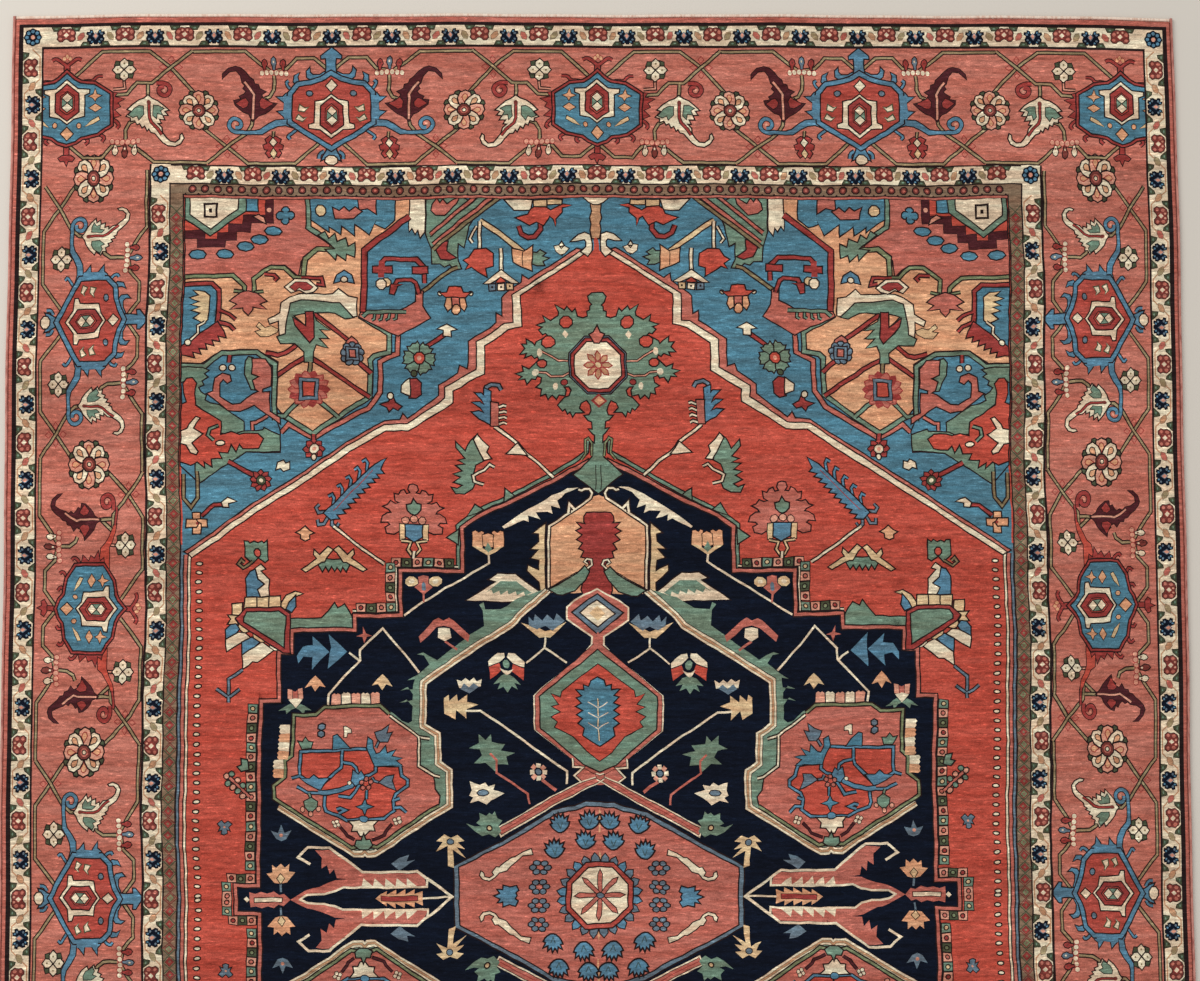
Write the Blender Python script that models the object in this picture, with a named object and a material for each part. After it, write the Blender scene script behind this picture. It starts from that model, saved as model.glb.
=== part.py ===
"""Hand-knotted wool pile rug, laid flat, with its overcast sides and its bound ends.

The frame is +Z up and +Y along the rug's length. The origin is on the underside, at the middle.
The outline is as uneven as a hand-woven rug's: the corners draw in and the edges ripple a little.
"""

import math

import bmesh
import bpy

# Driving dimensions, in metres.
RUG_WIDTH = 1.83
RUG_LENGTH = 2.74
RUG_THICKNESS = 0.009

# The pile leans in at the rim: (how far in from the body's edge, height as a share of the thickness).
RIM_STEPS = ((0.0, 0.0), (0.0, 0.45), (0.0012, 0.83), (0.0035, 1.0))

# The two overcast side cords and the two bound ends, each a flat-bottomed round.
SIDE_CORD_WIDTH = 0.0050
SIDE_CORD_HEIGHT = 0.0062
END_BINDING_WIDTH = 0.0055
END_BINDING_HEIGHT = 0.0056
FLAT_SHARE = 0.5  # of a cord's width that lies flat on the floor
SHOULDERS = (0.3, 0.7)  # heights between which a cord is at its widest, as shares of its height

SEAM_GAP = 0.0003  # between the body and what is sewn round it

# How far the outline wanders inwards.
CORNER_DRAW = 0.005
CORNER_POWER = 4
# One row for each ripple: wavelength, depth, phase.
SIDE_RIPPLES = ((0.61, 0.0016, 0.4), (0.23, 0.0007, 2.1))
END_RIPPLES = ((0.47, 0.0014, 1.3), (0.17, 0.0006, 0.2))

POINT_SPACING = 0.04  # along every edge
CORNER_TURNS = 8  # more than enough for a corner to settle

# Colour (red, green, blue), roughness and metallic value of each finish.
FINISHES = {
    "madder_wool": ((0.44, 0.09, 0.06), 0.95, 0.0),
    "side_wool": ((0.56, 0.25, 0.20), 0.95, 0.0),
    "end_cotton": ((0.78, 0.62, 0.50), 0.90, 0.0),
}


def wander(along, half_span, ripples):
    """How far the edge lies inside its straight line, at a place along it measured from its middle."""
    inwards = CORNER_DRAW * abs(along / half_span) ** CORNER_POWER
    for wavelength, depth, phase in ripples:
        inwards += depth * (1 + math.sin(math.tau * along / wavelength + phase)) / 2
    return inwards


def side_x(y, inset):
    """The right edge's x at a place along the length. The left edge is the same one turned round."""
    return RUG_WIDTH / 2 - wander(y, RUG_LENGTH / 2, SIDE_RIPPLES) - inset


def end_y(x, inset):
    """The far edge's y at a place across the width. The near edge is the same one turned round."""
    return RUG_LENGTH / 2 - wander(x, RUG_WIDTH / 2, END_RIPPLES) - inset


def spread(start, end):
    """Even places from start to end, both of them included."""
    count = max(2, round(abs(end - start) / POINT_SPACING))
    return [start + (end - start) * i / count for i in range(count + 1)]


def far_right_corner(side_inset, end_inset):
    """Where the right edge meets the far edge, found by going from one to the other in turn."""
    x, y = RUG_WIDTH / 2, RUG_LENGTH / 2
    for _ in range(CORNER_TURNS):
        x, y = side_x(y, side_inset), end_y(x, end_inset)
    return x, y


def near_right_corner(side_inset, end_inset):
    """Where the right edge meets the near edge, found the same way."""
    x, y = RUG_WIDTH / 2, -RUG_LENGTH / 2
    for _ in range(CORNER_TURNS):
        x, y = side_x(y, side_inset), -end_y(-x, end_inset)
    return x, y


def turned(points):
    """The same points, turned half round about the middle."""
    return [(-x, -y) for x, y in points]


def outline(side_inset, end_inset):
    """The closed outline, anticlockwise from the near right corner."""
    low_x, low_y = near_right_corner(side_inset, end_inset)
    high_x, high_y = far_right_corner(side_inset, end_inset)
    right = [(side_x(y, side_inset), y) for y in spread(low_y, high_y)[:-1]]
    far = [(x, end_y(x, end_inset)) for x in spread(high_x, -low_x)[:-1]]
    return right + far + turned(right) + turned(far)


def finish(name):
    """The named finish as a material."""
    colour, roughness, metallic = FINISHES[name]
    material = bpy.data.materials.new(name)
    material.use_nodes = True
    shader = material.node_tree.nodes["Principled BSDF"]
    shader.inputs["Base Color"].default_value = (*colour, 1.0)
    shader.inputs["Roughness"].default_value = roughness
    shader.inputs["Metallic"].default_value = metallic
    return material


def solid_from_rings(name, rings, finish_name):
    """One closed solid from rings of points, lowest or first ring to last, capped at both ends."""
    shape = bmesh.new()
    loops = [[shape.verts.new(point) for point in ring] for ring in rings]
    for lower, upper in zip(loops, loops[1:]):
        for i, vertex in enumerate(lower):
            j = (i + 1) % len(lower)
            shape.faces.new((vertex, lower[j], upper[j], upper[i]))
    shape.faces.new(loops[0])
    shape.faces.new(loops[-1])
    bmesh.ops.recalc_face_normals(shape, faces=shape.faces)
    mesh = bpy.data.meshes.new(name)
    shape.to_mesh(mesh)
    shape.free()
    mesh.materials.append(finish(finish_name))
    made = bpy.data.objects.new(name, mesh)
    bpy.context.scene.collection.objects.link(made)
    return made


def rug_body():
    """The knotted body: flat below, with a pile that leans in at its rim."""
    side_inset = SIDE_CORD_WIDTH + SEAM_GAP
    end_inset = END_BINDING_WIDTH + SEAM_GAP
    rings = []
    for lean, height in RIM_STEPS:
        edge = outline(side_inset + lean, end_inset + lean)
        rings.append([(x, y, height * RUG_THICKNESS) for x, y in edge])
    return solid_from_rings("rug_body", rings, "madder_wool")


def cord_section(width, height):
    """A cord's section as (place across from its inner edge, height), flat where it lies on the floor."""
    flat = width * FLAT_SHARE / 2
    middle = width / 2
    low, high = (height * share for share in SHOULDERS)
    return (
        (middle - flat, 0.0),
        (middle + flat, 0.0),
        (width, low),
        (width, high),
        (middle + flat, height),
        (middle - flat, height),
        (0.0, high),
        (0.0, low),
    )


def side_cord(name, turn):
    """An overcast cord along one side, from end to end of the rug. turn is 1 for the right, -1 for the left."""
    _, low_y = near_right_corner(0.0, 0.0)
    _, high_y = far_right_corner(0.0, 0.0)
    section = cord_section(SIDE_CORD_WIDTH, SIDE_CORD_HEIGHT)
    rings = []
    for y in spread(low_y, high_y):
        inner = side_x(y, SIDE_CORD_WIDTH)
        rings.append([(turn * (inner + across), turn * y, up) for across, up in section])
    return solid_from_rings(name, rings, "side_wool")


def end_binding(name, turn):
    """A bound edge between the two side cords. turn is 1 for the far end, -1 for the near one."""
    side_inset = SIDE_CORD_WIDTH + SEAM_GAP
    high_x, _ = far_right_corner(side_inset, 0.0)
    near_x, _ = near_right_corner(side_inset, 0.0)
    section = cord_section(END_BINDING_WIDTH, END_BINDING_HEIGHT)
    rings = []
    for x in spread(-near_x, high_x):
        inner = end_y(x, END_BINDING_WIDTH)
        rings.append([(turn * x, turn * (inner + across), up) for across, up in section])
    return solid_from_rings(name, rings, "end_cotton")


def main():
    for old in list(bpy.data.objects):
        bpy.data.objects.remove(old)
    rug_body()
    side_cord("side_cord_right", 1)
    side_cord("side_cord_left", -1)
    end_binding("end_binding_far", 1)
    end_binding("end_binding_near", -1)


main()
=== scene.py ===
"""A hand-knotted wool rug with a stepped medallion, corner spandrels and a palmette border, laid flat.

The pattern is drawn as a weaver's chart of one quarter, in knots from the rug's middle, and turned over
into the other three. Every shape of the chart becomes faces of one dye, so the pattern is part of the mesh.
"""

import contextlib
import math

import bpy
import numpy as np
from mathutils import Matrix, Vector
from mathutils.geometry import delaunay_2d_cdt


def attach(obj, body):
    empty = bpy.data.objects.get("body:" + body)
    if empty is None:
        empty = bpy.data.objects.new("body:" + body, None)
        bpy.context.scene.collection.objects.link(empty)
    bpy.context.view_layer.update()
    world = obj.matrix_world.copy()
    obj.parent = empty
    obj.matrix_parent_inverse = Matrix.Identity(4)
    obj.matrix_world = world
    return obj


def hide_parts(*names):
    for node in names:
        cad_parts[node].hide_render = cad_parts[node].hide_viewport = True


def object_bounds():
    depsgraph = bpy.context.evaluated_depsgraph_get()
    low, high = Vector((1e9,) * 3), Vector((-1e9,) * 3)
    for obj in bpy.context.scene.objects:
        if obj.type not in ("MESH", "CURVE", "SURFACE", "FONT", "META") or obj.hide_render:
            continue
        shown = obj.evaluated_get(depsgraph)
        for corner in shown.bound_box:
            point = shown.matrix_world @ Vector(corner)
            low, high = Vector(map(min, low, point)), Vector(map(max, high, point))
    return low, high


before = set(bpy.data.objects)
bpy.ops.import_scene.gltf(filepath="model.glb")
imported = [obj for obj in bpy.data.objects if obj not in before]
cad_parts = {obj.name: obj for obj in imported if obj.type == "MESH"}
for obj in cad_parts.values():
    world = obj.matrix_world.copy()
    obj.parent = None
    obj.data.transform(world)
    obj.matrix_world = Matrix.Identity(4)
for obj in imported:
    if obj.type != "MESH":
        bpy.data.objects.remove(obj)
cad_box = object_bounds()

# The rug's size in metres. The thickness is the frame's.
RUG_WIDTH = 1.83
RUG_LENGTH = 2.74
RUG_THICKNESS = float(cad_box[1][2])

# What is sewn on round the body, in metres.
SIDE_CORD_WIDTH = 0.0050
SIDE_CORD_HEIGHT = 0.0062
END_BINDING_WIDTH = 0.0055
END_BINDING_HEIGHT = 0.0056
SEAM_GAP = 0.0003

# How the pile leans in at its rim: (how far in, height as a share of the thickness), from the top down.
RIM_STEPS = ((0.0035, 1.0), (0.0012, 0.83), (0.0, 0.45), (0.0, 0.0))

# How far the outline wanders inwards: at the corners, and in ripples of a wavelength, depth and phase.
CORNER_DRAW = 0.005
CORNER_POWER = 4
CORNER_TURNS = 8  # more than enough for a corner to settle
SIDE_RIPPLES = ((0.61, 0.0016, 0.4), (0.23, 0.0007, 2.1))
END_RIPPLES = ((0.47, 0.0014, 1.3), (0.17, 0.0006, 0.2))

# The chart: knots from the middle to the edge, and one knot's size on the floor.
KNOTS_ACROSS = 588
KNOTS_ALONG = 886
KNOT_WIDE = RUG_WIDTH / 2 / KNOTS_ACROSS
KNOT_LONG = RUG_LENGTH / 2 / KNOTS_ALONG
PILE_ACROSS = (RUG_WIDTH / 2 - SIDE_CORD_WIDTH - SEAM_GAP - RIM_STEPS[0][0]) / KNOT_WIDE
PILE_ALONG = (RUG_LENGTH / 2 - END_BINDING_WIDTH - SEAM_GAP - RIM_STEPS[0][0]) / KNOT_LONG

# The dyes, as the eye sees them: red, green and blue out of 255.
DYES = {
    "madder": (178, 76, 62),
    "brick": (164, 72, 62),
    "coral": (180, 107, 92),
    "russet": (112, 54, 48),
    "rose": (175, 99, 86),
    "crimson": (144, 58, 54),
    "oxblood": (72, 32, 36),
    "navy": (12, 18, 32),
    "sky": (76, 118, 136),
    "blue": (84, 122, 144),
    "teal": (62, 84, 88),
    "slate": (96, 112, 124),
    "green": (106, 128, 110),
    "moss": (70, 76, 56),
    "sage": (116, 124, 92),
    "ivory": (216, 198, 170),
    "straw": (204, 174, 134),
    "peach": (204, 150, 114),
    "blush": (202, 142, 120),
    "khaki": (124, 108, 80),
    "brown": (126, 102, 82),
    "tan": (178, 134, 102),
    "hemp": (148, 130, 98),
    "outline": (36, 24, 24),
}
DYE_NAMES = list(DYES)


def linear(level):
    """A colour level out of 255 as light."""
    share = level / 255
    return share / 12.92 if share <= 0.04045 else ((share + 0.055) / 1.055) ** 2.4


# Lines and outlines in the chart

FINEST = 0.001  # places closer than this are one, in knots


def path(text):
    """Places in knots from text such as "0,402 18,417"."""
    return np.array([[float(number) for number in place.split(",")] for place in text.split()])


def both(half):
    """A closed shape from its right half, drawn from top to bottom."""
    half = path(half) if isinstance(half, str) else half
    other = half[::-1] * (-1, 1)
    return np.vstack((half, other[np.abs(other[:, 0]) > FINEST]))


def rounded(points, closed, cuts):
    """The same line with its corners cut off several times over, so that it bends softly."""
    for _ in range(cuts):
        before = points if closed else points[:-1]
        after = np.roll(points, -1, axis=0) if closed else points[1:]
        middle = np.stack((0.75 * before + 0.25 * after, 0.25 * before + 0.75 * after), axis=1)
        middle = middle.reshape(-1, 2)
        points = middle if closed else np.vstack((points[:1], middle, points[-1:]))
    return points


MITRE_LIMIT = 0.3  # keeps the point of a sharp corner short


def beside(points, distance, closed):
    """The line that runs at a distance to the left of another, with mitred corners."""
    ahead = np.roll(points, -1, axis=0) - points
    if not closed:
        ahead[-1] = ahead[-2]
    ahead = ahead / np.linalg.norm(ahead, axis=1, keepdims=True)
    behind = np.roll(ahead, 1, axis=0)
    if not closed:
        behind[0] = ahead[0]
    left = np.stack((-ahead[:, 1], ahead[:, 0]), axis=1)
    left_behind = np.stack((-behind[:, 1], behind[:, 0]), axis=1)
    openness = np.maximum(1 + (left * left_behind).sum(axis=1), MITRE_LIMIT)
    return points + distance * (left + left_behind) / openness[:, None]


def signed_area(points):
    """Twice the area inside a closed line, above 0 where it runs anticlockwise."""
    after = np.roll(points, -1, axis=0)
    return float((points[:, 0] * after[:, 1] - after[:, 0] * points[:, 1]).sum())


def ring_of(count, across, along, phase=0.0):
    """Places round an oval, anticlockwise."""
    angles = phase + np.arange(count) * math.tau / count
    return np.stack((across * np.cos(angles), along * np.sin(angles)), axis=1)


def teeth(start, end, count, depth, lean=0.0):
    """A sawtooth from start to end, with its points to the left. lean moves them on towards the end."""
    start, end = np.array(start, float), np.array(end, float)
    step = (end - start) / count
    left = np.array((-step[1], step[0])) / np.linalg.norm(step)
    line = []
    for i in range(count):
        line += [start + i * step, start + (i + 0.5 + lean) * step + depth * left]
    return np.array(line + [end])


RIM = 1.4  # how wide a shape's dark outline is, in knots


class Chart:
    """The weaver's chart. A shape covers those before it. Each holds its closed lines and its dye."""

    def __init__(self):
        self.shapes = []
        self.place = [np.eye(3)]

    @contextlib.contextmanager
    def at(self, across=0.0, along=0.0, turn=0.0, size=(1.0, 1.0)):
        """Draws what is in its block at a place, turned anticlockwise and sized; below 0 is mirrored."""
        angle = math.radians(turn)
        cosine, sine = math.cos(angle), math.sin(angle)
        turned = np.array(((cosine, -sine, across), (sine, cosine, along), (0, 0, 1)))
        self.place.append(self.place[-1] @ turned @ np.diag((*size, 1.0)))
        yield
        self.place.pop()

    def twice(self):
        """Draws what is in its loop as it is, and then mirrored from right to left."""
        for side in (1, -1):
            with self.at(size=(side, 1)):
                yield

    def add(self, dye, *lines):
        """One shape of the closed lines given. A line that runs the other way round cuts a hole."""
        place = self.place[-1]
        moved = [line @ place[:2, :2].T + place[:2, 2] for line in lines]
        self.shapes.append((moved, DYE_NAMES.index(dye)))

    def fill(self, dye, points, edge="outline", rim=RIM, soft=0):
        """A filled shape with an outline round it."""
        points = path(points) if isinstance(points, str) else points
        if soft:
            points = rounded(points, True, soft)
        if edge:
            outwards = -rim if signed_area(points) > 0 else rim
            self.add(edge, beside(points, outwards, True))
        self.add(dye, points)

    def line(self, dye, points, width, edge="outline", rim=RIM, soft=0, closed=False):
        """A line of a width, with an outline on both sides of it."""
        points = path(points) if isinstance(points, str) else points
        if soft:
            points = rounded(points, closed, soft)
        for colour, half in ((edge, width / 2 + rim), (dye, width / 2)):
            if not colour:
                continue
            left, right = beside(points, half, closed), beside(points, -half, closed)
            if closed:
                self.add(colour, left, right[::-1])
            else:
                self.add(colour, np.vstack((left, right[::-1])))

    def dot(self, dye, across, along, wide, tall=None, edge="outline", rim=RIM, corners=8):
        """A round or oval spot."""
        spot = ring_of(corners, wide, tall or wide, math.pi / corners) + (across, along)
        self.fill(dye, spot, edge, rim)

    def diamond(self, dye, across, along, wide, tall=None, edge="outline", rim=RIM):
        """A diamond on its point."""
        self.fill(dye, ring_of(4, wide, tall or wide) + (across, along), edge, rim)

    def box(self, dye, left, low, right, high, edge="outline", rim=RIM):
        """A box with upright sides."""
        corners = np.array(((left, low), (right, low), (right, high), (left, high)), float)
        self.fill(dye, corners, edge, rim)


# The bands round the field. Each side of a band is this many knots from the middle: (across, along).

GUARD_OUTER = (576.0, 873.0)
GUARD_OUTER_INSIDE = (557.5, 853.0)
BORDER = (555.5, 850.5)
BORDER_INSIDE = (449.0, 730.5)
GUARD_INNER = (446.5, 729.0)
GUARD_INNER_INSIDE = (428.5, 711.5)
DOTTED = (427.0, 710.0)
DOTTED_INSIDE = (415.0, 700.0)
FIELD = (413.6, 696.0)
BEYOND = (640.0, 940.0)


def frame_band(chart, dye, outside, inside):
    """A band that runs all the way round."""
    corners = path("-1,-1 1,-1 1,1 -1,1")
    chart.add(dye, corners * outside, (corners * inside)[::-1])


# The guard stripes


def red_guard_flower(chart):
    """A small brown flower with scalloped edges, its cells rosy round a pale heart."""
    body = "0,6.2 3.4,7 6.8,5.8 9,2.6 8.2,-0.8 9.2,-3.6 7,-6.2 4,-6.2 2.4,-4.4 0,-3.4"
    chart.fill("russet", both(body), rim=0.7)
    for _ in chart.twice():
        chart.dot("coral", 6, 2.6, 1.9, 2.1, None, corners=6)
        chart.dot("coral", 6.2, -3.2, 1.9, 1.6, None, corners=6)
        chart.dot("blush", 2.4, 4.6, 1.2, 1.3, None, corners=5)
    chart.diamond("ivory", 0, 0.4, 2.6, 2.6, "crimson", 0.8)


def blue_guard_flower(chart):
    """A small dark blue flower, open at the top round a pink bud."""
    body = """
        0,2 2,4 3.4,7.2 5.6,7.6 5.4,5.4 8.6,5.6 9.2,3.4 7,2.2 7.6,0 8.8,-1.6 8.2,-4.2 6.2,-3.6 6.4,-6.4
        4,-6.8 2.6,-4.8 1.4,-6.8 0,-6.8
    """
    chart.fill("navy", both(body), rim=0.5)
    for _ in chart.twice():
        chart.dot("slate", 6, 3.6, 1.4, 1.2, None, corners=6)
        chart.dot("blue", 4.2, 5.6, 0.9, 1.2, None, corners=6)
        chart.dot("slate", 6, -2.4, 1.3, 1.1, None, corners=6)
        chart.dot("blue", 3.8, -4.6, 1.2, 1, None, corners=6)
    chart.diamond("blush", 0, 1.4, 2, 2.8, "slate", 0.8)


GUARD_SIDE_PITCH = 37.8
GUARD_END_SLANT = 35  # degrees, of the small ovals between the flowers
GUARD_SIDE_SLANT = 62


def guard_stripe(chart, pitch, count, width, slant):
    """A run of red and blue flowers in turn, with leaves between them, along its own middle line."""
    half = width / 2
    low = 1.6 - half
    on_side = slant == GUARD_SIDE_SLANT
    for i in range(count + 1):
        way = -1 if i % 2 else 1
        with chart.at(i * pitch, size=(1, way)):
            for _ in chart.twice():
                if on_side:
                    chart.line("tan", f"0,{low} {0.3 * pitch},{low} {0.5 * pitch},0", 1.3, None)
                with chart.at(0.33 * pitch, half):
                    leaf = "-4.4,0 3.6,0 2.6,-5.6 0,-5" if on_side else "-4.6,0 4.6,0 2.6,-4 -2.6,-4"
                    chart.fill("moss", leaf, rim=0.7)
                    chart.dot("green", 0.4, -2, 1.5, 0.8, None, corners=6)
            with chart.at(0, 1.2):
                if way > 0:
                    red_guard_flower(chart)
                else:
                    with chart.at(size=(1, -1)):
                        blue_guard_flower(chart)
    for i in range(count):
        with chart.at((i + 0.5) * pitch, 0, turn=slant if i % 2 else -slant):
            dye = ("tan", "hemp", "rose")[i % 3]
            chart.fill(dye, "0,-4.8 2.6,-2.2 2.2,2.4 0,4.8 -2.6,2.2 -2.2,-2.4", "brown", 0.6)


def corner_flower(chart):
    """The round flower where two guard stripes meet."""
    lobes = ring_of(16, 1, 1) * np.where(np.arange(16) % 2, 8.2, 9.8)[:, None]
    chart.fill("navy", lobes, None, soft=1)
    for i in range(8):
        angle = i * math.tau / 8
        chart.dot("blue", 6 * math.cos(angle), 6 * math.sin(angle), 1.9, None, None, corners=6)
    chart.dot("blush", 0, 0, 2.2, None, rim=0.8)


def guards(chart):
    """Both guard stripes, on the end and on the side."""
    for outside, inside, end_pitch, end_count, side_count in (
        (GUARD_OUTER, GUARD_OUTER_INSIDE, 29.6, 18, 22),
        (GUARD_INNER, GUARD_INNER_INSIDE, 28.8, 14, 18),
    ):
        frame_band(chart, "ivory", outside, inside)
        across, along = (np.array(outside) + inside) / 2
        with chart.at(0, along):
            guard_stripe(chart, end_pitch, end_count, outside[1] - inside[1], GUARD_END_SLANT)
        with chart.at(across, 0, turn=90, size=(1, -1)):
            guard_stripe(chart, GUARD_SIDE_PITCH, side_count, outside[0] - inside[0], GUARD_SIDE_SLANT)
        with chart.at(across, along):
            chart.box("ivory", -9, -11, 9.4, 10, None)
            corner_flower(chart)


def dotted_stripe(chart):
    """The narrow brown stripe: round dots on the end, and diamonds in crossed threads on the side."""
    frame_band(chart, "brown", DOTTED, DOTTED_INSIDE)
    across, along = (np.array(DOTTED) + DOTTED_INSIDE) / 2
    pitch, half = 12.3, 6.4
    with chart.at(0, along):
        for i in range(34):
            chart.dot("russet", i * pitch, 0.4, 3, None, rim=1.3)
            chart.dot("rose", i * pitch, 0.4, 1.5, None, None, None, 6)
            chart.diamond("outline", (i + 0.5) * pitch, -half, 2.6, 3, None)
    with chart.at(across, 0, turn=90):
        for i in range(56):
            middle = i * pitch
            thread = "moss" if i % 3 else "russet"
            for way in (-half, half):
                chart.line(thread, f"{middle},{way} {middle + pitch},{-way}", 1, None)
            chart.diamond("crimson" if i % 4 else "sage", middle, 0, 3.6, 3.4, "russet", 0.9)
            chart.diamond("brown", middle, 0, 1.6, None, None)


# The main border


def rosette(chart):
    """Eight petals, rose and ivory in turn, round a dark red heart."""
    for i in range(8):
        with chart.at(turn=22.5 + 45 * i):
            chart.dot("moss", 17.6, 0, 3, 3.2, "outline", 1.2, corners=7)
    for i in range(8):
        with chart.at(turn=45 * i):
            petal = "0,0 7,4.8 12,6 17.5,4.6 19.6,0 17.5,-4.6 12,-6 7,-4.8"
            chart.fill("ivory" if i % 2 else "blush", petal, rim=1.3)
            tear = "9,0 13,2.3 15.4,1.4 16,0 15.4,-1.4 13,-2.3"
            chart.fill("peach", tear, "outline" if i % 2 else "crimson", 0.9)
    chart.dot("russet", 0, 0, 6, None, rim=1.3)
    chart.dot("rose", 0, 0, 3.8, None, None)
    chart.dot("ivory", 0, 0, 1.5, None, rim=0.9)


def ivory_leaf(chart):
    """A pale toothed leaf with two green lobes and a hooked tail, pointing up from its root."""
    body = """
        0,-2 4,1 10,3 16,7 21,12 17,13.5 22,19 18,20.5 18,24 14,23 12,27 9,25.5 7,30 4,28 2,33 0,31 -2,35
        -6,36 -10,41 -14,45.5 -19,48.5 -26,49.5 -31.5,46.5 -34,41 -32.6,37 -31.2,38 -31,42.5 -26.5,46.4
        -21,45.4 -17,41.5 -13,36 -12,31 -7,26 -11,26 -9,21.5 -15,22 -13,17.5 -18,17 -15,13 -20,12 -15,7.5
        -10,3.5 -4,1
    """
    chart.fill("ivory", body)
    chart.fill("green", "6,9 10,8.5 15,11 20,18 16,20 12,18 10,22 6,17", rim=0.9)
    chart.fill("green", "-5,8 -10,8 -15,10.5 -11,13 -13,17 -8,16 -7,21 -4,18", rim=0.9)
    chart.line("crimson", "0,4 0,20 -2,25 -9,32 -13,38", 2, rim=0.8)
    chart.dot("russet", 0, 5, 2.4, 2.8, None)


def oxblood_leaf(chart):
    """A dark toothed leaf with two red lobes and a hooked tail, pointing up from its root."""
    body = """
        0,-2 5,3 12,6 17,10 23,16 17,17 13,21 11,20 8,25 12,28 6,31 5,35 1,36 0,40 -4,43 -8,48 -13,52
        -18,53.4 -25,51.5 -30.6,46 -31.4,41 -29.6,43 -24,48.4 -17,49.4 -13,44 -11,37 -8,34 -10,31 -7,28
        -10,25 -14,23 -12,20 -19,19 -18,15 -13,10 -9,7 -4,5
    """
    chart.fill("oxblood", body, rim=0.9)
    chart.fill("crimson", "7,12 11,11 20,16 12,20 9,22 6,18", rim=0.8)
    chart.fill("crimson", "-6,13 -10,11 -17,16 -11,20 -8,21 -5,17", rim=0.8)
    chart.line("blush", "0,0 0,21 1,25 -4,32 -9,38", 2, rim=0.6)


def four_petals(chart, dye):
    """A small flower of four petals, each with a dark eye."""
    for i in range(4):
        with chart.at(turn=90 * i):
            chart.fill("moss", "3,5 8,3 8.5,8 4,9.5", rim=0.9)
    for i in range(4):
        with chart.at(turn=90 * i):
            chart.fill(dye, "0,1 3.6,4.4 3.6,8 0,11.2 -3.6,8 -3.6,4.4", rim=1.2)
            chart.dot("khaki", 0, 6.6, 1.1, None, None, corners=6)


def crown(chart, pale):
    """A beaded band with three strands that stand on it: pale ones, or dark ones round a slate one."""
    for across, tall in ((-9.5, 0.95), (0, 1.15), (9.5, 0.95)):
        strand = "-0.9,1 0.9,1 1.2,4 2.6,7 1.8,10.5 0,12 -1.8,10.5 -2.6,7 -1.2,4"
        dye = ("russet" if across == 0 else "ivory") if pale else ("slate" if across == 0 else "crimson")
        with chart.at(across, 0, size=(1, tall)):
            chart.fill(dye, strand, rim=1)
            chart.dot("ivory" if across == 0 else "russet", 0, 8 - 4 * pale, 0.9, 1.2, None, corners=6)
    for across in (-12.6, -7.6, -2.6, 2.6, 7.6, 12.6):
        lift = -1.6 - 0.1 * abs(across)
        chart.dot("blush" if pale else "ivory", across, lift, 2.3, 2.7, "crimson", 0.8, 7)


def hanging_floret(chart):
    """Two pale buds with rose petals to either side."""
    petals = "0,5 3,7 8,4 6,0 10,-2 9,-6 5,-6 8,-10 5,-14 2,-12 0,-14"
    chart.fill("crimson", both(petals), rim=1.1)
    chart.diamond("ivory", 0, 1, 3.6, 4, rim=1.1)
    chart.diamond("straw", 0, -10, 3.2, 4.6, rim=1)


VINE = 2  # how wide the vine's pale core is, in knots
VINE_RIM = 1.25


def vine(chart, points, dye="hemp", width=VINE):
    """A vine: a pale core between two dark lines."""
    chart.line(dye, points, width, rim=VINE_RIM)


def spiral(chart, dye, across, along, size, width):
    """A curl round a pale eye, which its stem enters from below. Its size is (across, along)."""
    with chart.at(across, along, size=size):
        chart.line(dye, """
            -10,-9 -1,-9.6 6,-6.5 8.5,0 5.5,6 0,8 -6,5 -7,0 -4.4,-4 0.5,-4.2
        """, width, "outline", 1.2, 1)
        chart.dot("blush", 0.6, 0.6, 1.8, None, None)


def half_span(chart, red_end, arm):
    """From a rosette to the palmette on its right: vines, a leaf, a crown and a floret."""
    low, high, cross = (-54, 60, -37) if red_end else (-60, 54, -44)
    for i in range(4):
        with chart.at(28, cross, turn=90 * i):
            chart.diamond("coral", 8, 0, 3, 2.4, "crimson", 0.8)
    vine(chart, f"71,{high - 19} 62,{high - 13} 46,{high} -7,{high}")
    vine(chart, f"77,{high - 19} 88,{high - 17} 98,{high - 6} 116,{high - 6} 131,{high - 19}")
    vine(chart, f"3,-17 28,{cross} 49,{low} 97,{low} 124,{low + 24}")
    if red_end:
        vine(chart, f"7,-54 28,{cross} 47,-24 54,-15 54.5,-9")
        vine(chart, "75.5,-21 75.5,-28", "hemp", 1.3)
    else:
        vine(chart, f"7,-61 28,{cross} 47,-27.5 62,-27.5 {'51,-14' if arm else '73,-16 93,-14.5'}")
        spiral(chart, "crimson", 35, -20.5, (-0.76, 0.76), 4.6)
        vine(chart, "51,-26 51,-12")
        vine(chart, "75,-31 75,-22 87,-21", "blush", 1.3)
    vine(chart, "75,36 75,21 71,14 66,12")
    with chart.at(54.5 if red_end else 51, -9 if red_end else -12):
        with chart.at(size=(0.78 if arm else 1, 1)):
            if red_end == arm:
                ivory_leaf(chart)
            else:
                oxblood_leaf(chart)
    with chart.at(75, high - 19):
        crown(chart, not red_end)
    with chart.at(75, -33.5 if red_end else -41):
        if red_end and not arm:
            hanging_floret(chart)
        else:
            four_petals(chart, "ivory")


SPAN = 266  # knots from a blue palmette to the next red one, on the ends


def span(chart, whole=True, arm=False):
    """What lies between the blue palmette at the origin and the red one to its right."""
    with chart.at(SPAN / 2, -4):
        half_span(chart, True, arm)
        if whole:
            with chart.at(turn=180):
                half_span(chart, False, arm)
        with chart.at(size=(1.12, 1.12) if arm else (1, 1)):
            rosette(chart)


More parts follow.
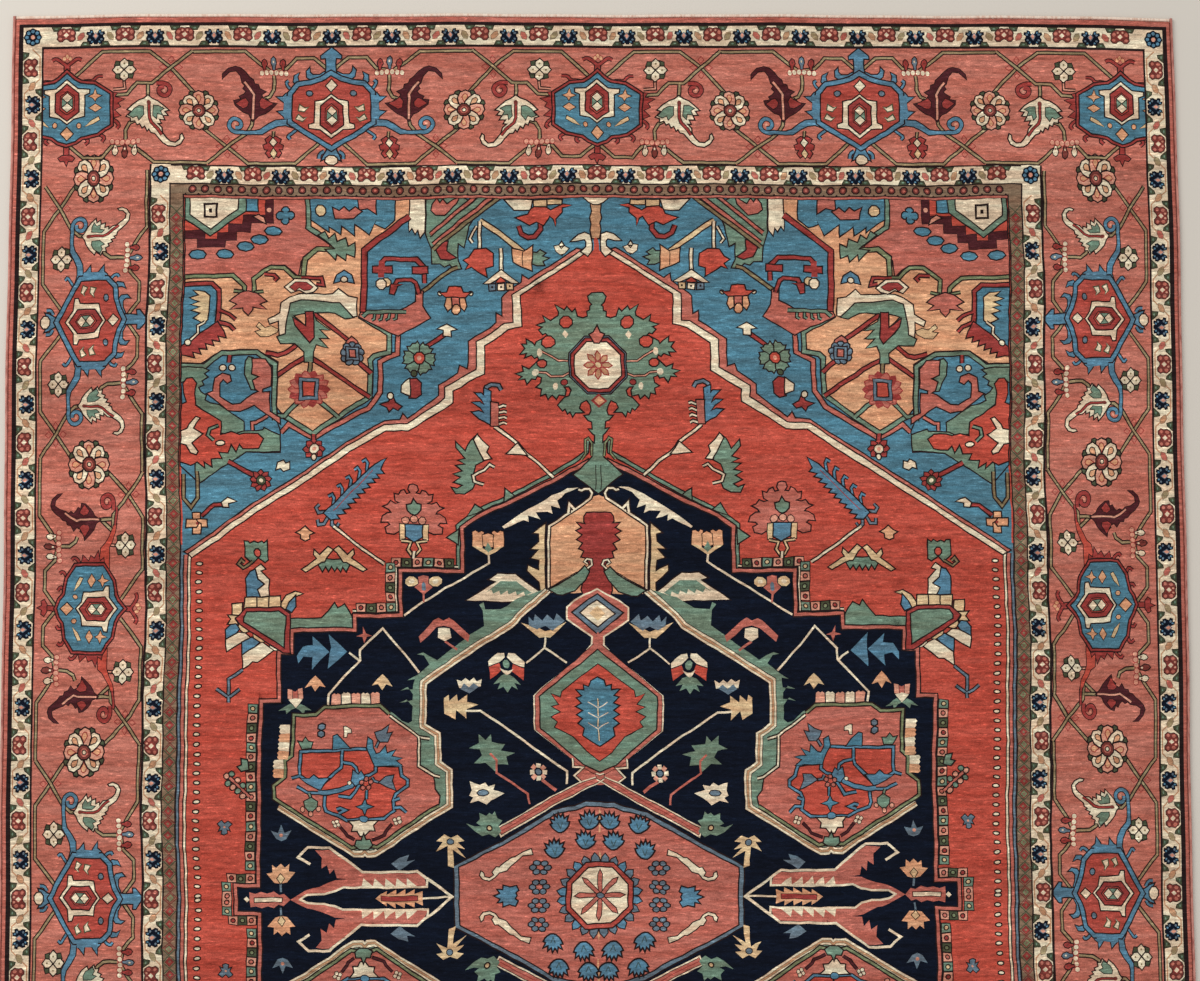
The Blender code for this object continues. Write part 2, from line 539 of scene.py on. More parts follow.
def horned_hexagon(chart):
    """The ivory frame in the heart of a palmette, with its rings and its hourglass. Horns are on top."""
    chart.fill("ivory", both("0,23.5 11,14.5 22,13.5 22,10.5 17,8.5 16.5,-13 7,-15 0,-20.5"))
    chart.fill("crimson", both("0,19 11,10 11,-8.5 0,-17"))
    chart.fill("brick", both("0,12 6.4,7 6.4,-6 0,-11"), rim=0.9)
    for _ in chart.twice():
        chart.fill("green", "0,1 5,-3 5,5", rim=0.8)
    for side in (1, -1):
        chart.diamond("ivory", 0, 1 + 5 * side, 4.8, 4.4, rim=1)


BLUE_BODY = "0,34 7,27.5 13,24 27,22 42,12 42,-18 30,-26.5 14,-29.5 8,-34 0,-37"


def blue_palmette(chart, arms=False):
    """A blue body round the ivory hexagon, on a crimson calyx with tendrils. Some have curled red arms."""
    body = both(BLUE_BODY)
    chart.line("crimson", "0,34 0,46", 5, rim=1.1)
    chart.line("crimson", "0,-36 0,-52", 4.4, rim=1.1)
    chart.fill("crimson", both("0,-49 4,-49 8,-52 6,-55 2,-54 0,-59"), rim=1)
    for _ in chart.twice():
        if arms:
            chart.fill("madder", "40,19 60,19 75,26 84,27.5 84,25 76,22 64,15 60,10 40,8", rim=0.9)
            chart.line("crimson", "82,26 100,27", 2, rim=0.9)
        else:
            chart.line("crimson", "12,25 20,27 26,26 30,31 36,31", 2, "outline", 1, 1)
        chart.line("crimson", "1,43 6,47 11,50 15,48", 2.6, "outline", 1, 1)
        chart.fill("crimson", "40,15 50,13 47,9 57,7 50,3 53,-1 47,-4 53,-10 46,-12 40,-14", rim=0.9)
        hooks = ("43,-14 48,-15 52,-20 49,-23", "28,-27 34,-29 38,-32 35,-36", "12,-30 19,-31 22,-35 18,-38")
        for hook in hooks:
            chart.line("crimson", hook, 2.2, "outline", 1, 1)
    chart.fill("crimson", beside(body, 3.2, True))
    chart.fill("sky", body)
    for _ in chart.twice():
        chart.fill("peach", "28,18 29.6,12.8 34,11 29.6,9 28,6 26.4,9 22,11 26.4,12.8", rim=0.8)
        chart.fill("peach", "28,3 34,-1 31,-3 28,-5 25,-3 22,-1", rim=0.8)
        chart.fill("straw", "18,-20 24,-14 31,-10.5 32,-13.5 26,-17", rim=0.8)
        chart.dot("peach", 12, -18.5, 2.2, 2.6, "outline", 0.8, 6)
    chart.diamond("peach", 0, -27, 6, 6.5, rim=1.1)
    with chart.at(0, 4):
        horned_hexagon(chart)
    for i in range(3):
        chart.dot("peach", 3 * (i - 1), 52 - abs(i - 1) * 2.2, 1.8, 2.4, "crimson", 0.7, 6)


RED_BODY = "0,31 9,26 20,22.5 32,20.5 39,13 39,-14 30,-20 20,-26 0,-38"


def red_palmette(chart):
    """A red body round the ivory hexagon, in a blue frame with horns, a comb and curled arms."""
    body = both(RED_BODY)
    for _ in chart.twice():
        chart.fill("blue", "4,37 12,33 19,33 22,36 22,40 25,37 24,31 18,27 6,29", rim=1.2)
        chart.fill("blue", "27,23 33,26 34,31 32,35 37,32 38,26 33,20", rim=1.2)
        chart.line("blue", "38,16 44,20 46,25 43,27", 2, "outline", 1.1, 1)
        chart.fill("blue", """
            37,14 46,14 49,10 55,10 50,6 47,4 47,-4 54,-5 49,-9 46,-13 56,-14 63,-18 70,-23.5 76,-25
            76,-28 69,-28 61,-23 54,-19.5 46,-18.5 36,-22
        """, rim=1.2)
        chart.line("blue", "75,-26.5 89,-26.5", 3, rim=1.1)
        spiral(chart, "blue", 96, -18.6, (0.84, 0.84), 3.8)
        chart.line("blue", "33,-22 40,-27 44,-30 41,-33", 2, "outline", 1.1, 1)
        chart.line("blue", "7,-45 12,-48 12,-53", 2.4, "outline", 1.1, 1)
    chart.fill("blue", both("0,60 5,56 9.5,52 9.5,49.5 4.6,50 4.6,38 6,30 0,28"))
    chart.fill("blue", both("0,-36 4.4,-38 4.4,-44 8,-50 9,-54 5,-52 0,-52"))
    chart.dot("ivory", 0, -54, 6, 4.8)
    chart.fill("blue", beside(body, 5.2, True))
    for _ in chart.twice():
        chart.fill("blue", "39,12 48,11 48,-12 39,-13", None)
    chart.fill("brick", body)
    for _ in chart.twice():
        chart.dot("slate", 22, 14, 3, 2.4, "outline", 1.2, 7)
        chart.fill("ivory", "24,0 27,-1 32,2 33,-3 28,-4", "moss", 1.2)
        chart.fill("ivory", "25,-10 28,-12 33,-8 35,-12 29,-14", "moss", 1.2)
    chart.diamond("ivory", 0, 22, 5, 5.6, rim=1.2)
    with chart.at(0, -7.5, size=(1, -1)):
        horned_hexagon(chart)


SIDE_SPAN = 287  # knots from a blue palmette to the next red one, on the sides


def main_border(chart):
    """The wide rose border. On the sides the pattern lies the other way out."""
    frame_band(chart, "coral", BEYOND, BORDER_INSIDE)
    across, along = (np.array(BORDER) + BORDER_INSIDE) / 2
    squeeze = (BORDER[0] - BORDER_INSIDE[0]) / (BORDER[1] - BORDER_INSIDE[1])
    side_size = SIDE_SPAN / SPAN
    red, blue = 0, SIDE_SPAN
    with chart.at(across - 1.5, 0, turn=90):
        for start, way in ((blue, -1), (blue, 1), (2 * SIDE_SPAN + blue, -1)):
            with chart.at(start, 0, size=(way * side_size, squeeze)):
                span(chart, start == blue, True)
        for place in (red, 2 * SIDE_SPAN):
            with chart.at(place, 0, size=(1, squeeze)):
                red_palmette(chart)
        with chart.at(blue, 0, size=(1, squeeze)):
            blue_palmette(chart, True)
    with chart.at(0, along):
        for start, way in ((0, 1), (2 * SPAN, -1)):
            with chart.at(start, 0, size=(way, 1)):
                span(chart)
        for place in (0, 2 * SPAN):
            with chart.at(place):
                blue_palmette(chart)
        with chart.at(SPAN):
            red_palmette(chart)


def bands(chart):
    """Everything round the field, from the main border outwards and then inwards."""
    main_border(chart)
    frame_band(chart, "rose", BEYOND, (580.5, 876.5))
    frame_band(chart, "outline", (580.5, 876.5), GUARD_OUTER_INSIDE)
    frame_band(chart, "outline", GUARD_OUTER_INSIDE, BORDER)
    frame_band(chart, "outline", BORDER_INSIDE, FIELD)
    guards(chart)
    dotted_stripe(chart)
    chart.box("rose", -10, 696.8, FIELD[0], 698.8, None)


# The field: its ground, the corner piece, the red ground's sprigs and the medallion


def scattered(chart, places, draw):
    """The same small drawing at each of some places."""
    for across, along in path(places):
        with chart.at(across, along):
            draw(chart)


def petalled(chart, petals, petal, heart, radius, count, edge="outline"):
    """A round flower: petals, a ring of shorter ones of another dye, and a heart."""
    for i in range(count):
        with chart.at(turn=360 / count * i):
            wide = radius * 2.2 / count
            half = f"0,{radius} {wide * 0.8},{radius * 0.8} {wide},{radius * 0.5} 0,{radius * 0.2}"
            chart.fill(petals, both(half), edge, 1.1)
    chart.dot(petal, 0, 0, radius * 0.42, None, edge, 1.1)
    chart.dot(heart, 0, 0, radius * 0.2, None, None)


CORNER_EDGE = "10,642 78,598 80,595 80,570 92,567 117,550 117,522 149,503 149,492 190,466 211,466 405,340"


def field_ground(chart):
    """Red, with the blue of the corner piece and the lines along the side."""
    chart.box("madder", -10, -10, *FIELD, None)
    chart.box("rose", -10, 695.6, FIELD[0], 699, rim=0.8)
    chart.line("slate", "412.2,350 412.2,-10", 2, rim=1)
    chart.line("rose", "408.6,345 408.6,-10", 2.8, rim=1)
    chart.line("ivory", "405,341 405,-10", 1.8, rim=1)
    edge = path(CORNER_EDGE)
    chart.fill("sky", np.vstack((path("412,340 412,696 -10,696 -10,642"), edge)), None)
    rose = """
        410,343 212,472 197,473 194,479 190,474 158,497 158,507 139,520 137,527 129,524 129,553 101,571
        101,580 95,577 95,596 92,599 75,611 74,618 68,614 20,645
    """
    chart.fill("rose", np.vstack((path(rose), edge)))
    ivory = """
        406,341 212,468 190,469 152,494 152,505 121,524 121,552 93,570 84,571 84,598 12,645 9,642.6
        77,598.6 76.5,568 90,565 114,549 114,521 145,502 145,490 189,463 210,463 403,338
    """
    chart.fill("ivory", ivory)
    chart.fill("tan", both("0,697 4,697 4.8,688 3.8,682 5,676 3.8,670 4.8,664 3.6,656 0,656"))
    chart.fill("ivory", both("0,697 13,697 7,692 2.6,690 0,690"))
    chart.fill("madder", both("0,657 2.6,654 2.6,644 8,636 0,630"), None)
    for _ in chart.twice():
        chart.fill("ivory", """
            5,650 6,659 11,661 18,659 25,653 20,653 12,655 10,652 10,647 15,642 9,638 5,643
        """)


def roof(chart):
    """A pale roof on a post, with three small boxes under it."""
    chart.line("ivory", "0,35 0,12", 2.4)
    chart.fill("ivory", both("0,12 17,0 11,0 0,6"))
    chart.fill("madder", both("0,5 5,0.6"), rim=0.9)
    for across, dye in ((-9, "straw"), (0, "ivory"), (9, "slate")):
        chart.box(dye, across - 3, -7, across + 3, -1.4)
        chart.dot("outline", across, -4, 1.2, None, None)


def blue_corner(chart):
    """What grows on the blue ground of the corner piece."""
    chart.box("straw", 34, 690.5, 48, 694.5)
    chart.box("straw", 49.5, 688.5, 62, 694.5)
    chart.fill("ivory", "64,695 91,695 82,685 67,685")
    chart.line("crimson", "56,674 56,665 62,658 69,657 76,661 78,669", 3.4)
    chart.fill("madder", """
        24,689 34,687 34,682 41,676 41,668 43,676 47,679 53,670 60,673 67,670 73,673 80,677 68,680 66,685
        62,688 50,687 45,684 38,687 32,690
    """)
    chart.diamond("ivory", 35, 646, 4, 6)
    chart.line("straw", "32,647 38,646", 1.6)
    chart.fill("green", "65,642 60,641 57,644 52,641 56,638 49,636 55,633 53,629 59,629 65,631")
    chart.line("straw", "73,641 98,661 117,674", 4)
    chart.line("ivory", "117,673 117,645", 2.2)
    chart.fill("ivory", "28,646 32,648 35,645 38,649 42,648 41,643 37,640 32,641", rim=1)
    chart.fill("peach", "65,648 73,642 84,645 83,632 76,628 65,623")
    chart.line("outline", "74,642 74,628", 0.9, None)
    with chart.at(95.5, 611):
        roof(chart)
    chart.fill("madder", """
        104,628 104,640 111,645 122,644 127,637 132,634 127,630 131,625 125,628 118,623 110,618 111,626
    """)
    chart.line("ivory", "120,668 127,655 124,651", 1.4)


def leafy_bands(chart):
    """The bands that slant down from the top of the corner piece, and the green leaf below them."""
    chart.fill("green", """
        128,668 131,656 133,648 139,652 139,634 136,626 142,625 147,631 153,629 157,632 165,632 165,647
        170,662 170,697 136,697 118,688
    """)
    chart.fill("rose", """
        139,697 141,691 148,684 152,680 161,681 165,685 164,691 160,696 157,691 154,695 150,690
    """)
    chart.fill("crimson", "131,684 127,676 135,679 143,670 143,680 136,684")
    chart.fill("crimson", "149,653 150,643 141,637 147,635 156,637 160,645 158,652")
    chart.line("rose", "120,699 166,661", 2.6)
    chart.line("green", "111,699 164,656", 5)
    chart.line("rose", "103,699 163,651", 2.8)
    chart.line("khaki", "95,699 164,646", 2.6)
    chart.line("khaki", "139,627 147,625 178,602", 2.4)
    chart.fill("ivory", "172,697 187,697 187,665 184,669 181,663 178,667 176,659 172,664")


def bracket(chart):
    """Red brackets with a pale bud, on a rose wedge with a green comb."""
    wedge = "176,603 176,588 168,576 199,558 238,577 236,581 202,581 182,592 182,603"
    chart.fill("rose", wedge)
    for i in range(4):
        chart.line("green", f"{201 + 7 * i},581 {201.6 + 7 * i},575 {204.4 + 7 * i},573.6", 1.3, rim=1.2)
    chart.line("green", "192,582 229,582 235,577", 2.6, rim=1.2)
    chart.line("crimson", "173.5,612 173.5,628 181,636 213,636 217,632 217,622", 3.2)
    chart.box("crimson", 170, 622, 185, 628)
    chart.box("crimson", 207, 622, 225, 628)
    chart.box("crimson", 214, 617, 220, 634, None)
    chart.line("crimson", "179,600 183,612 187,615 201,614 204,608", 2.6)
    chart.fill("crimson", "195,610 201,609 204,600 208,601 207,610")
    chart.dot("straw", 212, 612, 4.4, 4)
    chart.dot("ivory", 217, 610, 4.6, 5.2)
    with chart.at(142.5, 595):
        for _ in chart.twice():
            chart.fill("peach", "5,3 9,2 11,-6 8,-11 5,-8")
            chart.dot("ivory", 16, 6, 1.6)
        chart.fill("rose", both("0,4 3.4,4 3.4,-8 0,-8"))
        chart.fill("madder", both("0,13.5 6,12.5 8,7 15,6.5 10,3 0,3"))
        chart.dot("peach", 0, -10, 3.8, 4.6)
    chart.line("crimson", "152,560 178,542", 3)
    with chart.at(151, 567):
        chart.fill("ivory", both("0,3 9,-2 3.4,-3 3.4,-9 0,-9"))
    with chart.at(178, 535):
        for i in range(6):
            with chart.at(turn=60 * i - 25):
                chart.fill("green", both("0,15.5 3,14 5.4,15 5.6,10 2.6,5 0,4"))
        chart.dot("madder", 0, 0, 5.4)
        chart.dot("blush", 0, 0, 2.4, None, None)
        chart.dot("moss", 5, -15, 2.6)
    chart.fill("crimson", "177,499 176.5,510 181,514.5 188,514 188,496 182,495")
    chart.fill("ivory", "188,514 196,508 196,502 188,498")
    chart.fill("crimson", "196,487 202,491 205,497 208,491 216,489 210,486 208,482 204,486 199,484")
    chart.dot("ivory", 207, 498, 2.4, 3)


def peach_ground(chart):
    """The peach ground with its lines, and the rose ground with stepped edges above it."""
    chart.fill("peach", """
        188,697 188,682 232,648 232,578 208,560 208,540 225,536 225,500 257,475 282,457 310,476 320,490
        320,530 338,543 372,543 392,530 412,530 412,697
    """)
    chart.line("crimson", "187,680 234,644.5 234,575", 4.6)
    chart.line("rose", "199,558 200,540 217,532 217,501 228,485 279,455 284,455 306,468 314,460", 3.6)
    chart.line("green", "238,578 208,560 208,541 223,538 227,534 227,497 257,475 282,458 310,476", 3.4)
    chart.line("green", "257,475 277,491", 2.8)
    chart.line("green", "296,491 310,476 320,478", 2.8)
    chart.fill("sky", """
        202,697 202,676 212,668 222,672 220,678 228,661 243,672 244,660 257,670 258,661 270,669 270,664
        287,676 287,697
    """)
    chart.fill("rose", "221,697 221,683 229,688 238,686 238,697")
    chart.fill("rose", "236,684 244,677 262,677 264,687 258,684 253,688 248,683 242,688")
    chart.dot("straw", 277, 684.5, 5.2)
    chart.fill("rose", """
        292,697 292,669 270,653 268,647 282,647 290,642 297,634 299,619 312,630 327,630 345,615 345,600
        352,600 353,607 365,618 412,618 412,697
    """)
    chart.line("green", "290,697 290,668 266,652", 3.4)
    chart.line("sage", "264,645.5 281,646 292.5,637 294,617", 3.4)
    chart.fill("green", """
        244,651 251,647 253,656 262,652 264,660 270,656 274,663 279,660 268,652 262,646 272,645 263,636
        262,642 253,635 252,641 244,638
    """)
    chart.line("sage", "296,617 303,617 313,627 327,627 343.5,614 343.5,601", 2.6)
    chart.line("sage", "353,601 353,606 365,617 412,617", 2.6)
    chart.line("sage", "334,602 344,600", 1.6)
    chart.line("sage", "364,602 353,600", 1.6)
    with chart.at(349, 590):
        chart.fill("rose", both("0,11 8,9 17.5,2 10,-1.5 17.5,-6.5 8,-5 4.5,-4.5 4.5,-7.5 0,-12"))


def blue_spot(chart):
    """A flat blue spot."""
    chart.fill("sky", ring_of(8, 8, 4.2))


def stepped_corner(chart):
    """The stepped corner with the pale pentagon and its fret."""
    steps = "329,697 329,676 351,676 351,666 365,666 365,657 376,657 376,650 396,650 396,659 412,659"
    chart.fill("madder", np.vstack((path(steps), path("412,697"))), None)
    chart.line("oxblood", steps, 7.6, rim=0.6)
    chart.box("sky", 341, 684, 352, 697)
    chart.dot("blush", 329, 686, 2.4, None, None)
    chart.fill("blush", "333,672 344,678 340,680 335,677")
    chart.fill("green", "353,697 353,684 387,658 412,675 412,697")
    chart.fill("ivory", "361,697 361,686 387,665 407,679 407,697")
    chart.line("outline", "381,677 393,677 393,690 381,690", 2.2, None, closed=True)
    chart.box("outline", 385.4, 681.4, 388.6, 685.6, None)
    scattered(chart, "325,664 338,655 352,647 372,639 400,639", blue_spot)
    with chart.at(313, 680):
        for i in range(4):
            with chart.at(turn=90 * i):
                chart.dot("sky", 0, 4.6, 3.6, 3.8)
        chart.dot("sky", 0, 0, 4, None, None)


def bent_leaf(chart):
    """The pale and green band bent over the peach ground, with its toothed leaf, eye and flowers."""
    chart.fill("blue", "245,612 247,619 254,624 261,619 263,612 258,613 254,617 250,613")
    chart.dot("ivory", 254, 615, 2.6)
    chart.line("crimson", "282,580 248,553", 3)
    chart.line("crimson", "240,532 226,520", 3)
    chart.line("crimson", "284,534 227,496", 3)
    chart.line("crimson", "292,535 319,516", 3)
    chart.line("crimson", "300,548 311,539 318,537 330,540", 3)
    chart.line("crimson", "296,617 276,617 274,610 281,611", 2.2)
    chart.line("crimson", "333,619 323,619 320,616 323,613", 2.2)
    chart.fill("ivory", """
        241,596 249,597 259,605 264,600 298,600 307,596 316,590 317,580 328,573 327,569 318,573 317,557
        311,560 310,575 304,590 296,594 258,591 246,578 241,578
    """)
    chart.fill("green", """
        245,577 252,576 262,582 284,582 281,573 268,564 279,565 270,556 280,556 270,546 281,549 284,541
        284,531 292,531 292,541 302,550 316,549 319,555 311,559 310,574 306,590 296,594 258,591
    """)
    chart.fill("crimson", "284,582 291,582 291,566 304,575 302,568 287,551 284,556")
    chart.fill("peach", "292.5,580 302,577 292.5,569")
    chart.fill("straw", """
        319,563 326,566 332,564 338,569 340,566 335,562 341,561 336,556 328,556 320,560
    """, rim=0.9)
    chart.fill("ivory", "280,607 289,615 303,615 312,607 306,602 298,605 291,601 284,603")
    chart.fill("crimson", "285,607.5 291,612 302,612 307,607.5 302,604 298,607 293,604 288,605", rim=0.9)
    chart.line("khaki", "286.5,531 286.5,519", 2.4)
    with chart.at(286.5, 503, size=(1.04, 0.96)):
        for i in range(14):
            petal = both("0,19 2.4,17 4.2,12 3,7 0,7")
            with chart.at(turn=360 / 14 * (i + 0.5)):
                chart.fill("rose" if i % 3 else "crimson", petal, "crimson", 1.1)
        chart.box("outline", -9.6, -12, 9.6, 12, None)
        chart.box("slate", -8.8, -11.2, 8.8, 11.2, None)
        chart.box("madder", -5, -7, 5, 7)
    with chart.at(245, 540):
        chart.fill("rose", both("0,17 5,13 7.5,6 0,2"))
        for i in range(9):
            with chart.at(turn=40 * i):
                chart.dot("slate", 0, 8.6, 3.2, 3)
        chart.box("slate", -6, -6, 6, 6)
        chart.box("rose", -2.6, -3.4, 2.6, 3.4)
    with chart.at(281, 443):
        petalled(chart, "crimson", "ivory", "blush", 10.5, 8)
        chart.dot("ivory", 0, -8, 2, 2.6)
        chart.line("crimson", "0,8 0,15", 3)


def side_panel(chart):
    """The blue panel at the side with its yellow comb, and the octagon below it."""
    chart.fill("sky", "381,604 386,607.5 412,607.5 412,544 381,569")
    chart.line("crimson", "412,609.5 385,609.5 378,603 378,567", 3)
    chart.line("crimson", "377,582 367,578 361,573", 2.2)
    chart.line("crimson", "377,571 366,567 361,562", 2.2)
    frill = teeth((408, 538), (372, 562), 6, 6, 0.3)
    chart.fill("crimson", np.vstack((frill, path("378,571 412,547 412,538"))))
    chart.fill("straw", """
        388,597 393,601 403,603 397,598 406,596 396,592 404,589 395,587 403,583 394,581 401,575 392,571
        388,574
    """)
    chart.line("ivory", "390,572 397,567 397,560 404,553", 1.4)
    chart.dot("ivory", 406, 551, 2.6)
    chart.fill("sky", """
        318,470 318,530 338,542 372,542 392,529 412,529 412,428 396,412 350,441 315,441 315,460
    """)
    chart.line("green", "320,472 320,528 338.5,540 372.5,540 389,527 412,527", 3.4)
    chart.line("crimson", "365,538 365,530", 2.6)
    for across in (362, 371):
        chart.dot("ivory", across, 525, 2.8, 2.6)
    chart.fill("green", "342,534 346,535 349,531 349,519 342,504 337,503 341,512 336,517 342,520")
    chart.fill("green", """
        386,523 391,519 387,516 393,512 391,508 396,505 393,500 388,497 390,492 384,489 375,487 358,476
        351,471 351,461 356,459 374,460 374,471 387,480 398,489 400,499 399,510 405,515 412,511 412,525
        392,525
    """)
    chart.fill("rose", """
        324,525 330,533 342,533 342,519 334,516 341,512 338,504 334,501 340,499 354,489 362,488 375,496
        375,510 371,514 367,510 363,512 364,517 371,519 379,515 381,501 386,499 366,483 354,482 340,488
        315,470 315,475 325,481 325,500 332,500 332,504 324,506
    """)
    chart.line("rose", "327,477 338,470 342,470 342,463", 2.2)
    chart.fill("green", "315,442 315,457 330,464 331,462 352,461 397,440 397,421 396,409 348,441")
    chart.fill("madder", """
        332,454 337,459 350,459 356,457 364,460 374,457 374,471 387,479 399,487 400,499 398,509 402,514
        407,514 410,509 410,500 407,490 412,488 412,432 402,428 396,432 389,426 390,432 382,427 383,434
        373,434 376,441 366,440 363,450 358,442 355,449 351,444 337,445
    """)
    chart.line("green", "376,467 384,464 386,457 380,452", 1.8)
    chart.dot("ivory", 373.5, 449.5, 4, 2)
    chart.fill("ivory", """
        395,474 398,475 404,468 406,463.5 412,462 412,450 407,449 402,441 397,439 396,441 403,450 392,458
        401,464
    """)
    chart.line("khaki", "396,422 396,396 403,387 410,396 410,420", 2.2)
    chart.line("crimson", "340,417 366,431", 3.2)
    with chart.at(333, 412):
        petalled(chart, "crimson", "moss", "ivory", 10.5, 9)
    chart.fill("ivory", "306,424 306,430 310,429 312,432 317,430 318,424 314,425 311,422")
    chart.line("crimson", "371,388 380,388 393,378", 2.6)
    chart.fill("ivory", "358,391 366,395 372,390 371,386 366,386 366,390")
    with chart.at(398, 371):
        for i in range(4):
            with chart.at(turn=90 * i):
                chart.fill("peach", both("0,10 3.4,10 3.4,1 0,-1"))
        chart.dot("crimson", 0, 0, 1.4, None, None)


def tree(chart):
    """The green tree over the medallion, with a pale octagon in its crown."""
    crown = """
        0,601 5,600.6 8,597 7,592 4,589 6,587 6,583 9,582 9,577 14,575 20,577 22,584 25,581 30,586 32,582
        41,588 37,581 38,577 46,572 53,577 51,571 60,568 54,566 58,563 55,559 52,560 49,557 57,553 61,551
        63,547 66,551 71,554 71,549 76,549 73,545 78,540 71,541 73,537 67,539 64,536 61,538 59,534 62,531
        66,527 69,524 75,527 74,522 82,521 75,518 79,515 73,516 71,511 67,516 63,515 61,518 56,516 57,510
        61,507 56,505 57,499 52,500 50,495 46,499 42,495 40,499 34,498 33,503 36,507 30,507 27,503 29,497
        34,495 40,488 36,483 33,485 31,480 28,482 26,477 23,481 16,481 20,485 18,490 12,493 8,488 7,482
        9,477 13,477 10,473 6,471 6,463 10,464 6,460 3.4,458 3.4,449 6,451 5,436 12,430 24,419 14,412
        4,404 0,401
    """
    chart.fill("green", both(crown))
    for _ in chart.twice():
        chart.dot("madder", 30.5, 571, 6, 5.6)
        chart.diamond("ivory", 32, 559, 3.4, 4.2, None)
        chart.dot("madder", 49.5, 551, 6.4, 5.4)
        chart.dot("madder", 57, 530, 4.6, 3.6)
        chart.dot("crimson", 35, 511, 3, 2.6, rim=1)
        chart.line("blush", "28,532 40,532 47,537 57,542", 1.2, rim=1)
        chart.line("blush", "28,520 36,517 48,517 53,521 60,521", 1.2, rim=1)
        chart.dot("ivory", 59, 541, 2.8, 4, None)
        chart.dot("ivory", 63, 521, 3.4, None, None)
        chart.dot("ivory", 43, 507, 2.6, 3.6, None)
        chart.line("sage", "6,437 6.6,450 10,455 13,453 12,440 17,434", 1.4, rim=1)
    octagon = ring_of(8, 1, 1, math.pi / 8)
    with chart.at(0, 528):
        for radius, dye in ((31, "slate"), (29, "crimson"), (25, "ivory")):
            chart.fill(dye, octagon * radius, rim=1.4)
        for i in range(8):
            with chart.at(turn=45 * i):
                chart.fill("tan", both("0,13.5 2.2,10.5 1.8,6.5 0,4"), "crimson", 1.2)
        chart.dot("straw", 0, 0, 3, None, "crimson", 1.2)
    chart.fill("rose", both("0,567 3,561 7,559 2,551 0,551"))
    chart.diamond("peach", 0, 492, 5.4, 5, "crimson", 2)
    chart.line("outline", "2.6,428 2.6,404", 0.9, None)


